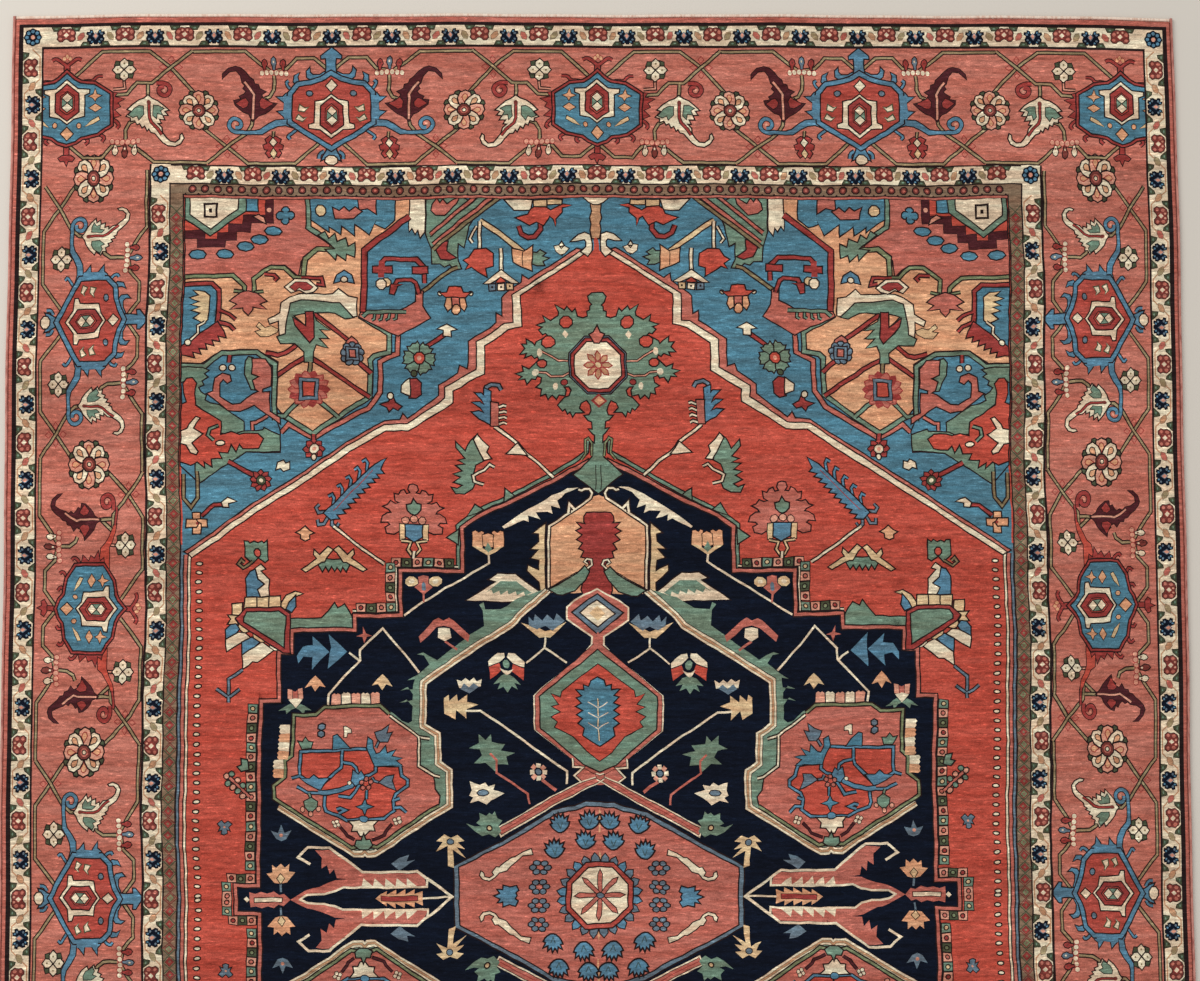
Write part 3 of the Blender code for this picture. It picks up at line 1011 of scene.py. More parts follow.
def red_sprigs(chart):
    """The sprigs on the red ground."""
    chart.line("ivory", "45,417 60,431 72,440 80,450 103,467", 2.2)
    chart.fill("ivory", "72,439 80,450 91,440")
    chart.line("slate", "96,504 99,509 106,510 111,507 110.5,498", 2.4)
    chart.fill("blue", """
        107,469 118,475 125,481 119,482 113,480 117,486 125,491 118,491 113,488 116,494 122,500 116,500
        113,497 113,505 107,503
    """)
    chart.box("rose", 99.5, 468, 106.5, 491)
    for along in (469, 475, 481, 487):
        chart.line("ivory", f"99,{along} 94,{along + 2} 91,{along + 1}", 1.6)
    chart.fill("green", """
        121,457 127,452 132,441 141,450 141,445 131,434 138,432 131,428 140,427 133,421 142,419 134,416
        141,411 132,408 138,404 143,405 140,400 131,400 124,404 121,411 125,418 122,428 115,432 117,440
    """)
    chart.fill("ivory", "121,457 124,453 121,447 117,440 113,433 107,434 112,440 110,446 116,451")
    chart.line("ivory", "103,425 108,428 113,423 119,420 124,417 122,411 113,408", 1.6)
    with chart.at(182, 370):
        bush = """
            0,38 3.4,37 4.4,33 2,29 7,28 9,32 12,31 15,27 19,28 18,22 13,19 19,18 23,20 26,16 29,15 24,12
            21,8 26,8 31,5 32,0 26,0 23,-3 28,-6 27,-11 20,-12 14,-9 0,-9
        """
        chart.fill("rose", both(bush))
        for across in (-8, 0, 8):
            chart.dot("blush", across, 3 - abs(across) * 0.2, 3.4, None, "outline", 1, 7)
        for _ in chart.twice():
            chart.fill("straw", "9,-3 14,-3 14,-18 9,-17", rim=0.9)
            chart.line("straw", "0,-36 6,-28 3,-21 13,-19", 1.5)
        chart.fill("green", both("0,22 2.4,18 6.6,17 6,12 3,9 0,8"), rim=1.6)
        chart.fill("blue", both("0,-3 8,-3 8,-15 0,-20"))
    chart.line("ivory", "182,340 182,333", 2)
    with chart.at(240, 403, turn=45):
        curls = ("-2,-34 -9,-41 -14,-40 -13,-35", "0,-36 -3,-46 1,-50 5,-47", "3,-34 9,-42 14,-40 14,-35")
        for curl in curls:
            chart.line("slate", curl, 2, rim=1.2)
        for place in (-24, -12, 0, 12, 24):
            chart.line("blue", f"2,{place - 6} 9,{place + 3} 13,{place + 4} 14,{place}", 1.8, rim=1.2)
        near = teeth((-3.4, 32), (-4.6, -38), 10, -5, -0.4)
        chart.fill("blue", np.vstack((path("4.6,-38 4.2,0 3,32 0,43"), near)))
        chart.line("crimson", "0,-30 0.4,26", 0.8, None)
    chart.line("ivory", "211,328 232,343 261,366", 2)
    with chart.at(289, 359):
        chart.fill("peach", both("0,7 4,3 8,1 4,-1 4,-5 0,-7"))
    with chart.at(261, 330):
        comb = np.vstack((teeth((-15, -3), (15, -3), 5, -5), path("16,3 -16,3")))
        chart.fill("green", comb)
        for _ in chart.twice():
            chart.fill("straw", "1,13 5,16 14,7 19,12 20,8 17,4 32,-7 29,-9 13,1 10,1 4,10")
    chart.fill("green", """
        328,333 328,351 331,349 333,351 337,349 341,351 345,349 347,351 350,351 350,337 343,330 338,336
        331,331
    """)
    chart.dot("madder", 338, 340, 3, 3.6)
    chart.line("khaki", "343,331 352,326 357,330 354,334 351,331", 1.6)
    chart.fill("ivory", "327,298 327,313 336,322 331,324 335,328 342,323 338,314 334,308 339,304 336,298")
    chart.fill("blue", "336,298 348,298 349,315 345,322 341,323 338,314 332,309 339,305")
    chart.line("slate", "352,226 365,216 365,199", 2, rim=1.2)
    chart.line("slate", "354,206 365,198 377,207", 2, rim=1.2)
    chart.line("slate", "365,199 365,193", 2, rim=1.2)
    chart.fill("slate", both("0,4 3,7 6.4,4.6 3.6,1 5,-2 2,-1 2.4,-5 0,-6") + (366, 70), rim=1)
    chart.dot("blush", 366, 71, 1.2, None, None)
    for i in range(36):
        chart.dot("ivory", 395.4 - 0.05 * i, 331.6 - 9.42 * i, 2.6, 1.3, rim=1.3)


def wing(chart):
    """The green wing on the medallion's shoulder: a leaf on an arm, a triangle, and pale feathers."""
    chart.fill("green", "245,266 245,276 252,288 259,284 262,289 268,281 274,274 305,274 305,266")
    chart.fill("straw", "294,299 301,301 309,297 314,290 314,285 310,284 306,290 301,297")
    chart.fill("blue", "301,296 306,290 309,284 304,281 300,287")
    for i in range(3):
        chart.box("straw", 315.5 + 11.8 * i, 286.4, 326 + 11.8 * i, 296.4)
    chart.box("straw", 352.5, 281, 361.5, 291)
    chart.fill("straw", "357,279.5 365.5,279.5 363,276 366,271.5 357,271.5 360,276")
    chart.fill("straw", "345,265 350,272 355,271.5 356.5,267 351,263")
    chart.fill("blue", "356,266 359,270.5 364,270 368,265 368,255 360,260")
    chart.fill("ivory", "345,258 350,262 356,262 368,255.5 367.5,245 360,249")
    chart.fill("blue", "336,253 343,258 352,252.5 351.5,239")
    chart.fill("ivory", "322,245 333,252.5 351.5,240 351.5,227.5 342,234 337,233.5")
    chart.fill("straw", "328,254 342,264 341,258 334,253", rim=0.9)
    chart.fill("ivory", "313,244 325,252 325,248 320,244.5", rim=0.9)
    chart.fill("crimson", "306,279 315,286 348,286 358,277 354,271.5 312,242 305,242")
    chart.fill("green", "310,277 317,282 347,282 350,277.5 350,274 311,248")


MEDALLION_EDGE = """
    8,433 28,423 88,390 118,377 134,365 134,321 195,321 195,277 242,277 242,263 303,263 303,242 316,242
    316,195 333,195 333,14 356,14 356,-10
"""


def linked_squares(chart):
    """The chain of small squares outside the medallion's edge."""
    links = [(147 + 10.4 * i, 329) for i in range(6)] + [(205, 324 - 9.6 * i) for i in range(4)]
    links += [(205 + 10 * i, 285) for i in range(4)] + [(341, 187 - 9.6 * i) for i in range(17)]
    links += [(341, 21), (350, 21), (359, 21), (365, 12), (365, 3)]
    for i, (across, along) in enumerate(links):
        dye, heart = (("moss", "sage"), ("blush", "crimson"), ("green", "straw"), ("blush", "rose"))[i % 4]
        chart.box(dye, across - 4.2, along - 4, across + 4.2, along + 4, rim=1)
        chart.dot(heart, across, along, 1.7, None, "outline", 1.1, 7)
    chart.line("rose", "343,101 363,120", 2.4)
    ring = path("349,101 354,106 359,110 364,114 365,121 360,123 354,117 349,112")
    for i, (across, along) in enumerate(ring):
        chart.dot("green" if i % 2 else "blush", across, along, 2.4, None, "outline", 1.2, 7)
    chart.fill("green", "343,127 345,136 350,137 349,131 353,130 350,126")


def medallion_ground(chart):
    """The navy ground and its stepped edge."""
    edge = path(MEDALLION_EDGE)
    chart.line("green", "11,452 11,441 32,428 90,395 118,382 138,367 138,322", 2.6)
    for spur in ("84,397 92,403 92,392", "114,383 121,388 128,377", "138,363 149,355 139,349"):
        chart.fill("green", spur)
    chart.line("ivory", "138,325.5 199.5,325.5 199.5,281.5 244,281.5", 1.4)
    chart.fill("navy", np.vstack((edge, path("-10,-10 -10,440"))), None)
    chart.line("rose", MEDALLION_EDGE, 3)
    wing(chart)
    linked_squares(chart)
    chart.fill("green", both("0,440 6,434 24,419 14,413 4,404 0,401"))


def crown_panel(chart):
    """The peach panel below the tree with its red crown."""
    chart.fill("peach", both("0,399 6,397 47,367 47,300 0,300"), None)
    crown = """
        0,381 12,381 14,378 14,373 12,370 20,371 15,366 21,363 15,359 20,354 14,351 18,345 13,343 15,337
        10,336 7,330 6,325 9,318 14,311 15,303 12,296 0,296
    """
    chart.fill("crimson", both(crown))
    for _ in chart.twice():
        chart.line("ivory", "20,404 17,403 14,405 9,405 6.5,401 8,396 48,367 48,300", 1.8)
        chart.line("ivory", "30,381 29,390 24,385", 2.2)
        chart.fill("straw", """
            52,369 62,360 57,359 57,351 65,344 57,344 65,335 57,333 57,322 68,327 69,322 57,311 57,298
            52,298
        """)
        chart.line("ivory", "9,330 12,332 10,335 6,334 4.6,329 10,325 20,320 50,302", 1.3, rim=0.9)
        chart.fill("green", "8,322 12,327 20,319 47,303 40,299 34,299 22,303 12,314")
        chart.fill("ivory", """
            20,406 31,406 46,398 60,389 78,378 94,366 92,364 73,373 68,371 69,377 57,374 62,381 50,382
            45,380 47,388 38,385 41,393 37,397 34,401
        """, None)
        with chart.at(108, 350):
            for _ in chart.twice():
                chart.fill("peach", "4,11 6,12 9,10 12,12 15,11 16,-3 6,-6", rim=0.9)
                chart.fill("straw", "0,-13 16,-3 8,-4 0,-9", None)
            chart.fill("peach", both("0,10 5,8 5,-3 0,-5"), rim=0.9)
            chart.fill("green", both("0,1 3.6,-6 0,-10"), None)
        chart.line("ivory", "108,338 108,330 192,277", 2, None)
        chart.fill("ivory", "57,300 82,319 99,319 107,314 100,312 129,292 62,292")
        leaf = np.vstack((teeth((112, 300), (64, 297), 6, -4, 0.3), path("64,300 81,312 96,312")))
        chart.fill("green", leaf, None)
    with chart.at(172, 310):
        for _ in chart.twice():
            chart.dot("straw", 12, 0, 6.6, 5.2, None)
            chart.dot("ivory", 12, 0, 3, 2.4, None)
        chart.fill("rose", both("0,6 5,5 5,-2 9,-6 0,-13"), None)
        chart.fill("slate", both("0,0 2,-2 2,-8 0,-9"), None)
        chart.line("rose", "0,-12 0,-21", 1.8, None)


def heart_column(chart):
    """The diamond and the hexagon on the rug's middle line."""
    chart.fill("rose", both("0,304 22,292 30,286 30,274 5,257 5,248 9,244 0,240"), "ivory", 1.6)
    chart.fill("slate", both("0,299 25,281 0,260"))
    chart.fill("ivory", both("0,293 17,280.5 0,267"))
    chart.diamond("straw", 0, 280, 8, 8, None)
    hexagon = path("0,252 5,248 65,198 65,163 22,130 0,118")
    chart.fill("ivory", both(hexagon), None)
    chart.fill("rose", both(hexagon * (0.97, 1)), rim=0.6)
    chart.fill("rose", both("0,262 3.4,257 3.4,246 0,240"), None)
    chart.fill("green", both("0,243 58,197 58,165 16,131 0,123"))
    madder = "0,229 35,203 37,196 46,200 38,189 46,187 37,182 47,177 41,172 44,167 26,158 12,143 0,134"
    chart.fill("madder", both(madder), rim=1)
    leaf = """
        0,216 6,213 8,207 13,208 13,203 21,204 15,198 20,196 15,191 21,188 14,184 20,180 14,176 20,171
        14,167 16,159 8,154 0,149
    """
    chart.fill("sky", both(leaf))
    chart.line("ivory", "0,196 0,154", 1, rim=0.6)
    for _ in chart.twice():
        for along in (190, 180, 170):
            chart.line("ivory", f"0,{along - 4} 10,{along + 2}", 0.8, "blue", 0.9)
        chart.fill("rose", "27,134 22,130 0,117 0,110 17,111 25,118 17,127 27,127", None)
        chart.line("ivory", "27,136 27,127 17,127 25,118 17,111", 1.5, rim=0.8)
        chart.fill("ivory", "-4,122 20,112 102,67 98,58 18,102 -4,115", None)
        chart.fill("rose", "-4,120 20,110 100,66 97,61 18,104 -4,117", rim=0.7)
        chart.line("crimson", "8,113.5 20,107 97,64", 0.9, None)


def green_leaf(chart):
    """A star-shaped green leaf on a bent stem."""
    chart.fill("green", """
        83,140 92,137 90,129 101,129 102,122 112,131 123,131 115,138 118,144 128,146 119,150 119,159
        112,153 107,159 106,151 93,149 97,143
    """, None)
    chart.line("rose", "69,90 70,100 101,121 101,133 108,140", 2, None)


def navy_flowers(chart):
    """The flowers between the inner medallion's edge and its middle line."""
    chart.line("ivory", "52,258 52,246 30,231", 1.8, None)
    chart.line("ivory", "52,246 71,230", 1.8, None)
    chart.fill("straw", "31,271 47,256 58,256 76,271 60,266 52,262 45,265", None)
    chart.fill("slate", """
        33,272 41,280 43,273 50,279 55,273 62,279 64,272 69,277 68,268 60,264 52,268 45,263
    """, None)
    with chart.at(90.5, 222):
        for _ in chart.twice():
            chart.fill("ivory", "2,18 8,18 18,9 18,4 7,8 1,14", None)
            chart.fill("madder", "18,3 7,7 5,0 17,-9", None)
        chart.fill("green", both("0,-3 7,-6 14,-14 7,-12 10,-19 4,-16 0,-22"), None)
        chart.fill("ivory", both("0,-5 3,-3 7,2 2,0 0,0"), None)
        chart.dot("green", 0, 7, 3.6, 4.6, None)
    chart.fill("ivory", "116,213 121,210 124,214 128,211 132,214 136,211 141,213 139,205 117,205", None)
    chart.fill("slate", "119,205 124,209 129,205 134,209 138,204 129,199", None)
    chart.fill("straw", """
        120,188 131,191 131,198 140,191 141,198 148,192 149,198 153,195 153,180 142,174 141,183 131,174
        131,184
    """, None)
    chart.line("ivory", "32,110 32,122 118,182 132,182", 2, None)
    green_leaf(chart)
    with chart.at(60, 121):
        for i in range(8):
            with chart.at(turn=45 * i):
                chart.box("blush" if i % 2 else "ivory", -2.2, 4.2, 2.2, 8.6, None)
        chart.dot("slate", 0, 0, 3, None, None)
    chart.line("rose", "57,113 43,103", 3, None)
    chart.fill("ivory", """
        94,101 105,105 103,110 110,108 113,112 118,109 128,113 126,104 128,99 124,97 128,92 119,94 111,90
        107,94 102,97
    """, None)
    chart.fill("slate", ring_of(8, 5.5, 2.6) + (115, 101.5), rim=1)
    with chart.at(109, 68):
        chart.fill("green", """
            -12,-4 -9,1 -13,6 -8,8 -6,15 -3,12 0,14 3,11 10,14 9,8 13,4 8,1 14,0 22,3 13,-5 6,-9 0,-7
            -6,-10
        """, None)
        chart.dot("straw", 0, -1, 1.9)


def inner_edge(chart):
    """The inner medallion's edge: a green band and a striped line, and what hangs on it."""
    chart.fill("green", """
        52,304 78,296 96,284 111,283 113,290 117,288 113,282 112,267 160,232 174,240 180,238 173,237
        168,228 179,219 189,213 182,214 184,204 196,203 189,206 184,199 184,193 197,191 190,194 184,187
        184,173 188,170 194,172 203,180 211,184 207,177 177,157 178,128 164,118 163,106 157,99 157,92
        219,52 239,52 314,98 312,96 239,47 219,47 151,90 151,122 161,130 161,157 176,167 174,212 88,268
    """, None)
    stripe = """
        50,302 78,278 86,268 173.5,211 173.5,168 159,159 159,131 148,123.5 148,88.5 219,44 226,44 229,47
        232,44 240,44 314,90
    """
    chart.line("ivory", stripe, 6.4, rim=0.7)
    chart.line("tan", stripe, 1.6, "khaki", 0.6)
    with chart.at(152, 262):
        chart.line("rose", "0,-12 -12,-20", 2.4, None)
        for _ in chart.twice():
            chart.fill("rose", "0,9 5,12 10,9 26,-6 24,-12 8,2 0,4", None)
        chart.fill("ivory", both("0,2 6,1 7,-8 0,-12"), None)
    chart.line("ivory", "178,221 214,265 236,243 236,232 267,200 267,190", 2, None)
    chart.line("ivory", "236,231 247,240", 2, None)
    chart.fill("rose", "232,250 230,256 225,257 231,259 234,266 234,259 240,257 234,256", None)
    for across, dye in ((214, "straw"), (280, "peach")):
        with chart.at(across, 211):
            chart.fill(dye, both("0,8 5,3 10,-4 4,-2 0,-8"), None)
    chart.fill("blue", "249,241 267,258.5 265,246 266,236 267,224.5", None)
    chart.fill("blue", """
        266,241 283.5,257 282,248 292,247 298,238 297,231 291,238 282,236 283.5,225
    """, None)
    with chart.at(300, 196):
        chart.fill("rose", both("0,8 2.4,9 2.4,0 0,-1"), None)
        for _ in chart.twice():
            chart.fill("blush", "3,10 7.6,11 7.6,1 3,0", None)
            chart.fill("green", "0,-8 5,-4 9,-6 16,-11 9,-10 8,-14 4,-10", None)
        chart.fill("ivory", both("0,2 7,0 0,-8"), None)


def comb_leaf(chart, dye, points, stem=None):
    """A small toothed leaf of a few corners, and the stem it grows on."""
    if stem:
        chart.line(dye, stem, 1.6, rim=1.1)
    chart.fill(dye, points, rim=1.1)


SCROLL_GROUNDS = (
    "219,120 219,137 224,145 249,145 249,134 238,131 233,124 231,119",
    "251,145 290,145 290,120 279,118 262,118 250,130",
    "187,108 187,114 193,118 194,127 216,128 218,120 231,118 240,111 252,104 265,103 265,90 252,83 "
    "244,78 207,78 200,84 200,96 197,102",
    "236,128 250,133 270,110 262,106 240,112",
)
SCROLL_STEMS = (
    "226,146 290,145 290,121 298,118",
    "250,145 250,134 240,131.5 236,128 234,120",
    "250,134 251,129 261,119 271,109",
    "290,121 280,114 270,108",
    "217,130 194,128 192,118 186,114 186,108 197,101 199,95 198,85 207,78 244,77 252,82 264,86 266,91 "
    "265,103",
    "218,138 217,124 222,120 234,118",
    "272,104 282,104 293,110",
    "198,88 192,88 186,83",
    "198,95 193,97",
    "252,84 245,87 250,89 254,88",
    "232,112 240,99 252,101",
)


def scroll(chart):
    """The blue scroll in a cartouche, with the redder ground that it encloses."""
    for red in SCROLL_GROUNDS:
        chart.fill("madder", red, None)
    for stem in SCROLL_STEMS:
        chart.line("blue", stem, 2, rim=1.2)
    chart.line("blue", "234,117 240,111 250,106.5 262,104.5 272,105", 3.6, rim=1.2)
    comb_leaf(chart, "sky", """
        192,128 199,133 191,136 203,137 198,144 207,140 208,147 214,141 218,140 221,146 221,153 225,156
        227,147 223,140 218,129
    """)
    comb_leaf(chart, "sky", "243,147 256,160 259,159 259,147")
    comb_leaf(chart, "blue", "262,118 271,118 276,122 280,118 289,118 282,113 274,109 270,108")
    comb_leaf(chart, "blue", "228,119 231,124 234,121 239,125 240,116 236,111 231,113")
    comb_leaf(chart, "slate", """
        213,113 207,118 200,119 201,114 197,105 206,109
    """, "213,113 218,114 220,118")
    comb_leaf(chart, "sky", "226,97 228,92 234,90 228,88 226,83 224,88 218,90 224,92", "225,97 225,106")
    comb_leaf(chart, "slate", """
        202,161 207,160 205,168 211,163 218,161 216,155 213,152 206,152
    """, "214,153 218,146")
    comb_leaf(chart, "green", "286,158 289,154 293,155 289,148 281,148 279,154 283,154")
    comb_leaf(chart, "green", "279,99 285,95 284,90 281,86 277,86 273,90 273,95", "279,98 281,104")
    for across, along in path("271,88 279,83 287,88"):
        chart.dot("blush", across, along, 2, 2.4, "outline", 0.9, 6)
    for i in range(5):
        angle = i * math.tau / 5
        across, along = 226 + 4.6 * math.sin(angle), 112 + 4.6 * math.cos(angle)
        chart.dot("rose", across, along, 1.9, None, "outline", 1, 6)
    for along in (169, 162):
        chart.dot("slate", 271, along, 3, 2.8, "outline", 1.4, 6)
    chart.fill("ivory", "247,168 249,168 249,158 247,158 246,162 242,162 242,165", rim=0.9)
    chart.dot("ivory", 242, 114, 1.8, None, "outline", 0.8, 6)
    sprays = ((194, 75, "199,72 205,66 207,62 219,57"), (254, 74, "250,71 245,65 243,62 236,58"))
    for across, along, spray in sprays:
        chart.line("oxblood", spray, 1.6, rim=1)
        with chart.at(across, along):
            for i in range(4):
                chart.fill("ivory", ring_of(5, 1.8, 1.8, i) + ring_of(4, 2.6, 2.6, 0.4)[i], rim=0.7)
    chart.fill("ivory", "214,76 241,76 237,72 238,67 233,67 230,62 226,62 222,67 217,67 218,72")
    chart.dot("blue", 227, 78, 4.2, 3, rim=1)
    chart.fill("green", "227,62 229,57 234,57 235,52 231,49 223,49 219,52 221,57 225,57")


def cartouche(chart):
    """The rose cartouche at the medallion's side, inside its green and pale edges."""
    ground = """
        207,178 216,186 271,186 279,179 300,179 300,140 306,134 306,119 317,110 317,99 241,50 217,50
        159,90 158,98 163,105 164,117 178,127 178,157
    """
    chart.fill("rose", ground)
    chart.line("sage", """
        207,179 216,187.5 271,187.5 280,181 301,181 301.5,141 307.5,135 307.5,120 318,111 318,98 242,50
        229,53 217,50 158,89
    """, 2.2)
    chart.line("ivory", "206,177 178,157 167,155", 1.6)
    chart.line("ivory", "178,157 178,128 163,118 157,117", 1.6)
    with chart.at(3, 0):
        scroll(chart)
    block = path("0,0 8.6,0 8.6,9 6.4,10.6 4.4,9.4 2.4,10.6 0,9")
    for i in range(6):
        dye = "ivory" if i % 2 else "blush"
        if i < 5:
            chart.fill(dye, block + (216 + 9.8 * i, 190), None)
        with chart.at(304.5 if i > 1 else 309, 119 + 8.8 * i, turn=90, size=(1, -1)):
            chart.fill(dye if i % 2 else "peach", block, None)


def fan_flower(chart):
    """A small blue hand of five pointed petals."""
    hand = "0,8.6 1.6,4.6 4,7.6 4.6,3.4 8.4,5.6 6.6,1.4 9,0.4 7.6,-2.4 5.4,-4.8 2.6,-6.8 0,-7.2"
    chart.fill("blue", both(hand), rim=1.7)
    for _ in chart.twice():
        chart.line("teal", "0,-4.6 2.4,1.4", 1, None)


def lobed_ring(chart):
    """A small round flower of six blue lobes, wider than it is tall."""
    with chart.at(size=(1.15, 0.85)):
        for i in range(6):
            angle = i * math.tau / 6
            chart.dot("slate", 6 * math.cos(angle), 6 * math.sin(angle), 2.5, 2.6, "outline", 1.2, 7)
    chart.dot("rose", 0, 0, 2.6, 1.8, None, None, 6)


def middle(chart):
    """The rose hexagon in the rug's middle, with its blue flowers round a pale octagon."""
    hexagon = "0,92 14,92 24,88 46,83 92,56 141,29 141,0 141,-29 92,-56 46,-83 24,-88 14,-92 0,-92"
    chart.fill("slate", both(hexagon))
    chart.fill("rose", both(path(hexagon) * (0.964, 0.945)))
    for low, high in ((62, 86), (31, 44)):
        chart.fill("peach", both(f"0,{high} 1.2,{high - 4} 0.8,{low} 0,{low}"), None)
    for i in range(24):
        with chart.at(turn=15 * (i + 0.5)):
            chart.fill("slate" if i % 3 else "blue", """
                0,41 3.6,37.5 3.8,32 4,28 -3.6,28 -3.6,32 -3,37
            """, rim=1.1)
    ring = ring_of(8, 1, 1, math.pi / 8)
    chart.fill("brick", ring * 34.4)
    chart.fill("ivory", ring * 29)
    for i in range(8):
        with chart.at(turn=45 * i):
            chart.fill("rose", both("0,24 2,20 1.5,3 0,2"), rim=0.9)
    chart.dot("slate", 0, 0, 3.4, 2.4, rim=1)
    for across, along, turn in ((10, 73, 0), (39, 70, -6), (14, 53, 4), (44.5, 45, -4)):
        with chart.at(across, along, turn):
            fan_flower(chart)
    scattered(chart, "58.5,28 58.5,9", lobed_ring)
    with chart.at(89, 0, -90):
        chart.fill("blue", both("0,12 2.4,6 6,9 5,4 9.6,4 8,-2 9.4,-8 5.4,-10 3,-7 0,-8.4"))
    chart.fill("ivory", """
        67,41 68,46 76,43 83,38 86,38 93,32 98,28 101,28 104,23 102,20 107,17.6 112,19 113,23 115,24
        116,20 113,16.5 107,15.4 102,18 98,23 91,25 87,30 81,35 76,40
    """, rim=1.1)
    chart.fill("straw", """
        132,54 139,60 146,57 152,60 159,54 153,53 159,44 148,49 147,30 141,28 143,45 130,37 140,48 132,46
        139,53
    """, None)
    chart.dot("slate", 146, 53, 3, 2.6, rim=0.9)
    chart.fill("slate", "180,37 188,36 186,42 195,40 203,34 195,27 190,31", None)


def arms(chart):
    """The pointed arms: a pale line round a rose band with teeth, and the arrow and bar between them."""
    chart.fill("rose", """
        171,20 178,24 232,25 264,48 278,47 271,40 272,29 266,33 264,24 259,29 257,20 246,19 258,18 273,12
        285,9 302,0 296,-3 285,3 268,5 258,7 250,11 168,11
    """, None)
    chart.line("ivory", "142,-1 178,26 232,26 264,50 285,50 295,41 283,34", 2.4, None)
    chart.line("ivory", "168,18 168,11 250,11 258,7 268,5 285,4 297,-3", 2, None)
    chart.fill("ivory", np.vstack((teeth((232, 12), (178, 12), 5, -8, -0.4), path("178,11 232,11"))), None)
    chart.line("ivory", "142,0 174,0", 1.8, None)
    chart.fill("peach", """
        173,0 173,7 181,4 181,9 190,4 190,9 199,4 199,9 208,4 208,8 219,0 208,-8 208,-4 199,-9 199,-4
        190,-9 190,-4 181,-9 181,-4 173,-7
    """, None)
    chart.box("crimson", 178, -2.2, 213, 2.2, rim=0.6)
    chart.fill("rose", """
        302,0 308,6 313,5 318,8 324,6 330,8 336,6 342,8 342,-8 336,-6 330,-8 324,-6 318,-8 313,-5 308,-6
    """, None)
    chart.box("ivory", 310, -1.8, 337, 1.8, rim=0.9)
    chart.diamond("ivory", 345, 0, 3, 3, None)
    with chart.at(311, 25):
        chart.line("slate", "0,-6 0,-17", 2, None)
        chart.fill("peach", both("0,10 4,6 8,9 8,2 14,1 6,-8 0,-9"), None)
        chart.fill("straw", both("0,0 3.6,-4 0,-9"), rim=0.8)
    with chart.at(311, 65):
        chart.fill("slate", both("0,8 3,0 10,2 5,-6 0,-8"), None)
        chart.dot("blush", 0, -2, 1.8, None, None)


def field(chart):
    """Everything inside the bands."""
    field_ground(chart)
    blue_corner(chart)
    leafy_bands(chart)
    peach_ground(chart)
    bracket(chart)
    stepped_corner(chart)
    bent_leaf(chart)
    side_panel(chart)
    medallion_ground(chart)
    tree(chart)
    red_sprigs(chart)
    crown_panel(chart)
    inner_edge(chart)
    heart_column(chart)
    cartouche(chart)
    navy_flowers(chart)
    middle(chart)
    arms(chart)


# The knots: from the chart to a mesh

TILE = 48.0  # the chart is cut into tiles this wide, in knots
SPACING = 16.0  # there is a point at least this often
LONGEST_EDGE = 9.0
MOST_PIECES = 80  # that one edge is split into
COARSEST = 4.0  # marks narrower than this are left off the back, in knots


def split(points):
    """The edges of a closed line as starts and ends, none of them long."""
    ends = np.roll(points, -1, axis=0)
    count = np.maximum(1, np.ceil(np.abs(ends - points).max(axis=1) / LONGEST_EDGE)).astype(int)
    count = np.minimum(count, MOST_PIECES)
    starts, stops = [], []
    for start, end, pieces in zip(points, ends, count):
        shares = np.arange(pieces + 1)[:, None] / pieces
        line = start + (end - start) * shares
        starts.append(line[:-1])
        stops.append(line[1:])
    return np.vstack(starts), np.vstack(stops)


def clipped(starts, ends, low, high):
    """The stretches of some edges that lie in a box."""
    step = ends - starts
    first, last = np.zeros(len(starts)), np.ones(len(starts))
    kept = np.ones(len(starts), bool)
    for axis in (0, 1):
        level = step[:, axis] == 0
        stride = np.where(level, 1.0, step[:, axis])
        to_low = (low[axis] - starts[:, axis]) / stride
        to_high = (high[axis] - starts[:, axis]) / stride
        first = np.where(level, first, np.maximum(first, np.minimum(to_low, to_high)))
        last = np.where(level, last, np.minimum(last, np.maximum(to_low, to_high)))
        kept &= ~level | ((starts[:, axis] >= low[axis]) & (starts[:, axis] <= high[axis]))
    kept &= first <= last
    step, starts = step[kept], starts[kept]
    return starts + step * first[kept, None], starts + step * last[kept, None]


def within(points, lines):
    """Which points lie inside a shape's lines, by how often the lines turn round each."""
    turns = np.zeros(len(points), int)
    across, along = points[:, 0:1], points[:, 1:2]
    for line in lines:
        after = np.roll(line, -1, axis=0)
        left = (after[:, 0] - line[:, 0]) * (along - line[:, 1])
        left = left - (across - line[:, 0]) * (after[:, 1] - line[:, 1])
        up = (line[:, 1] <= along) & (after[:, 1] > along) & (left > 0)
        down = (line[:, 1] > along) & (after[:, 1] <= along) & (left < 0)
        turns += up.sum(axis=1) - down.sum(axis=1)
    return turns != 0


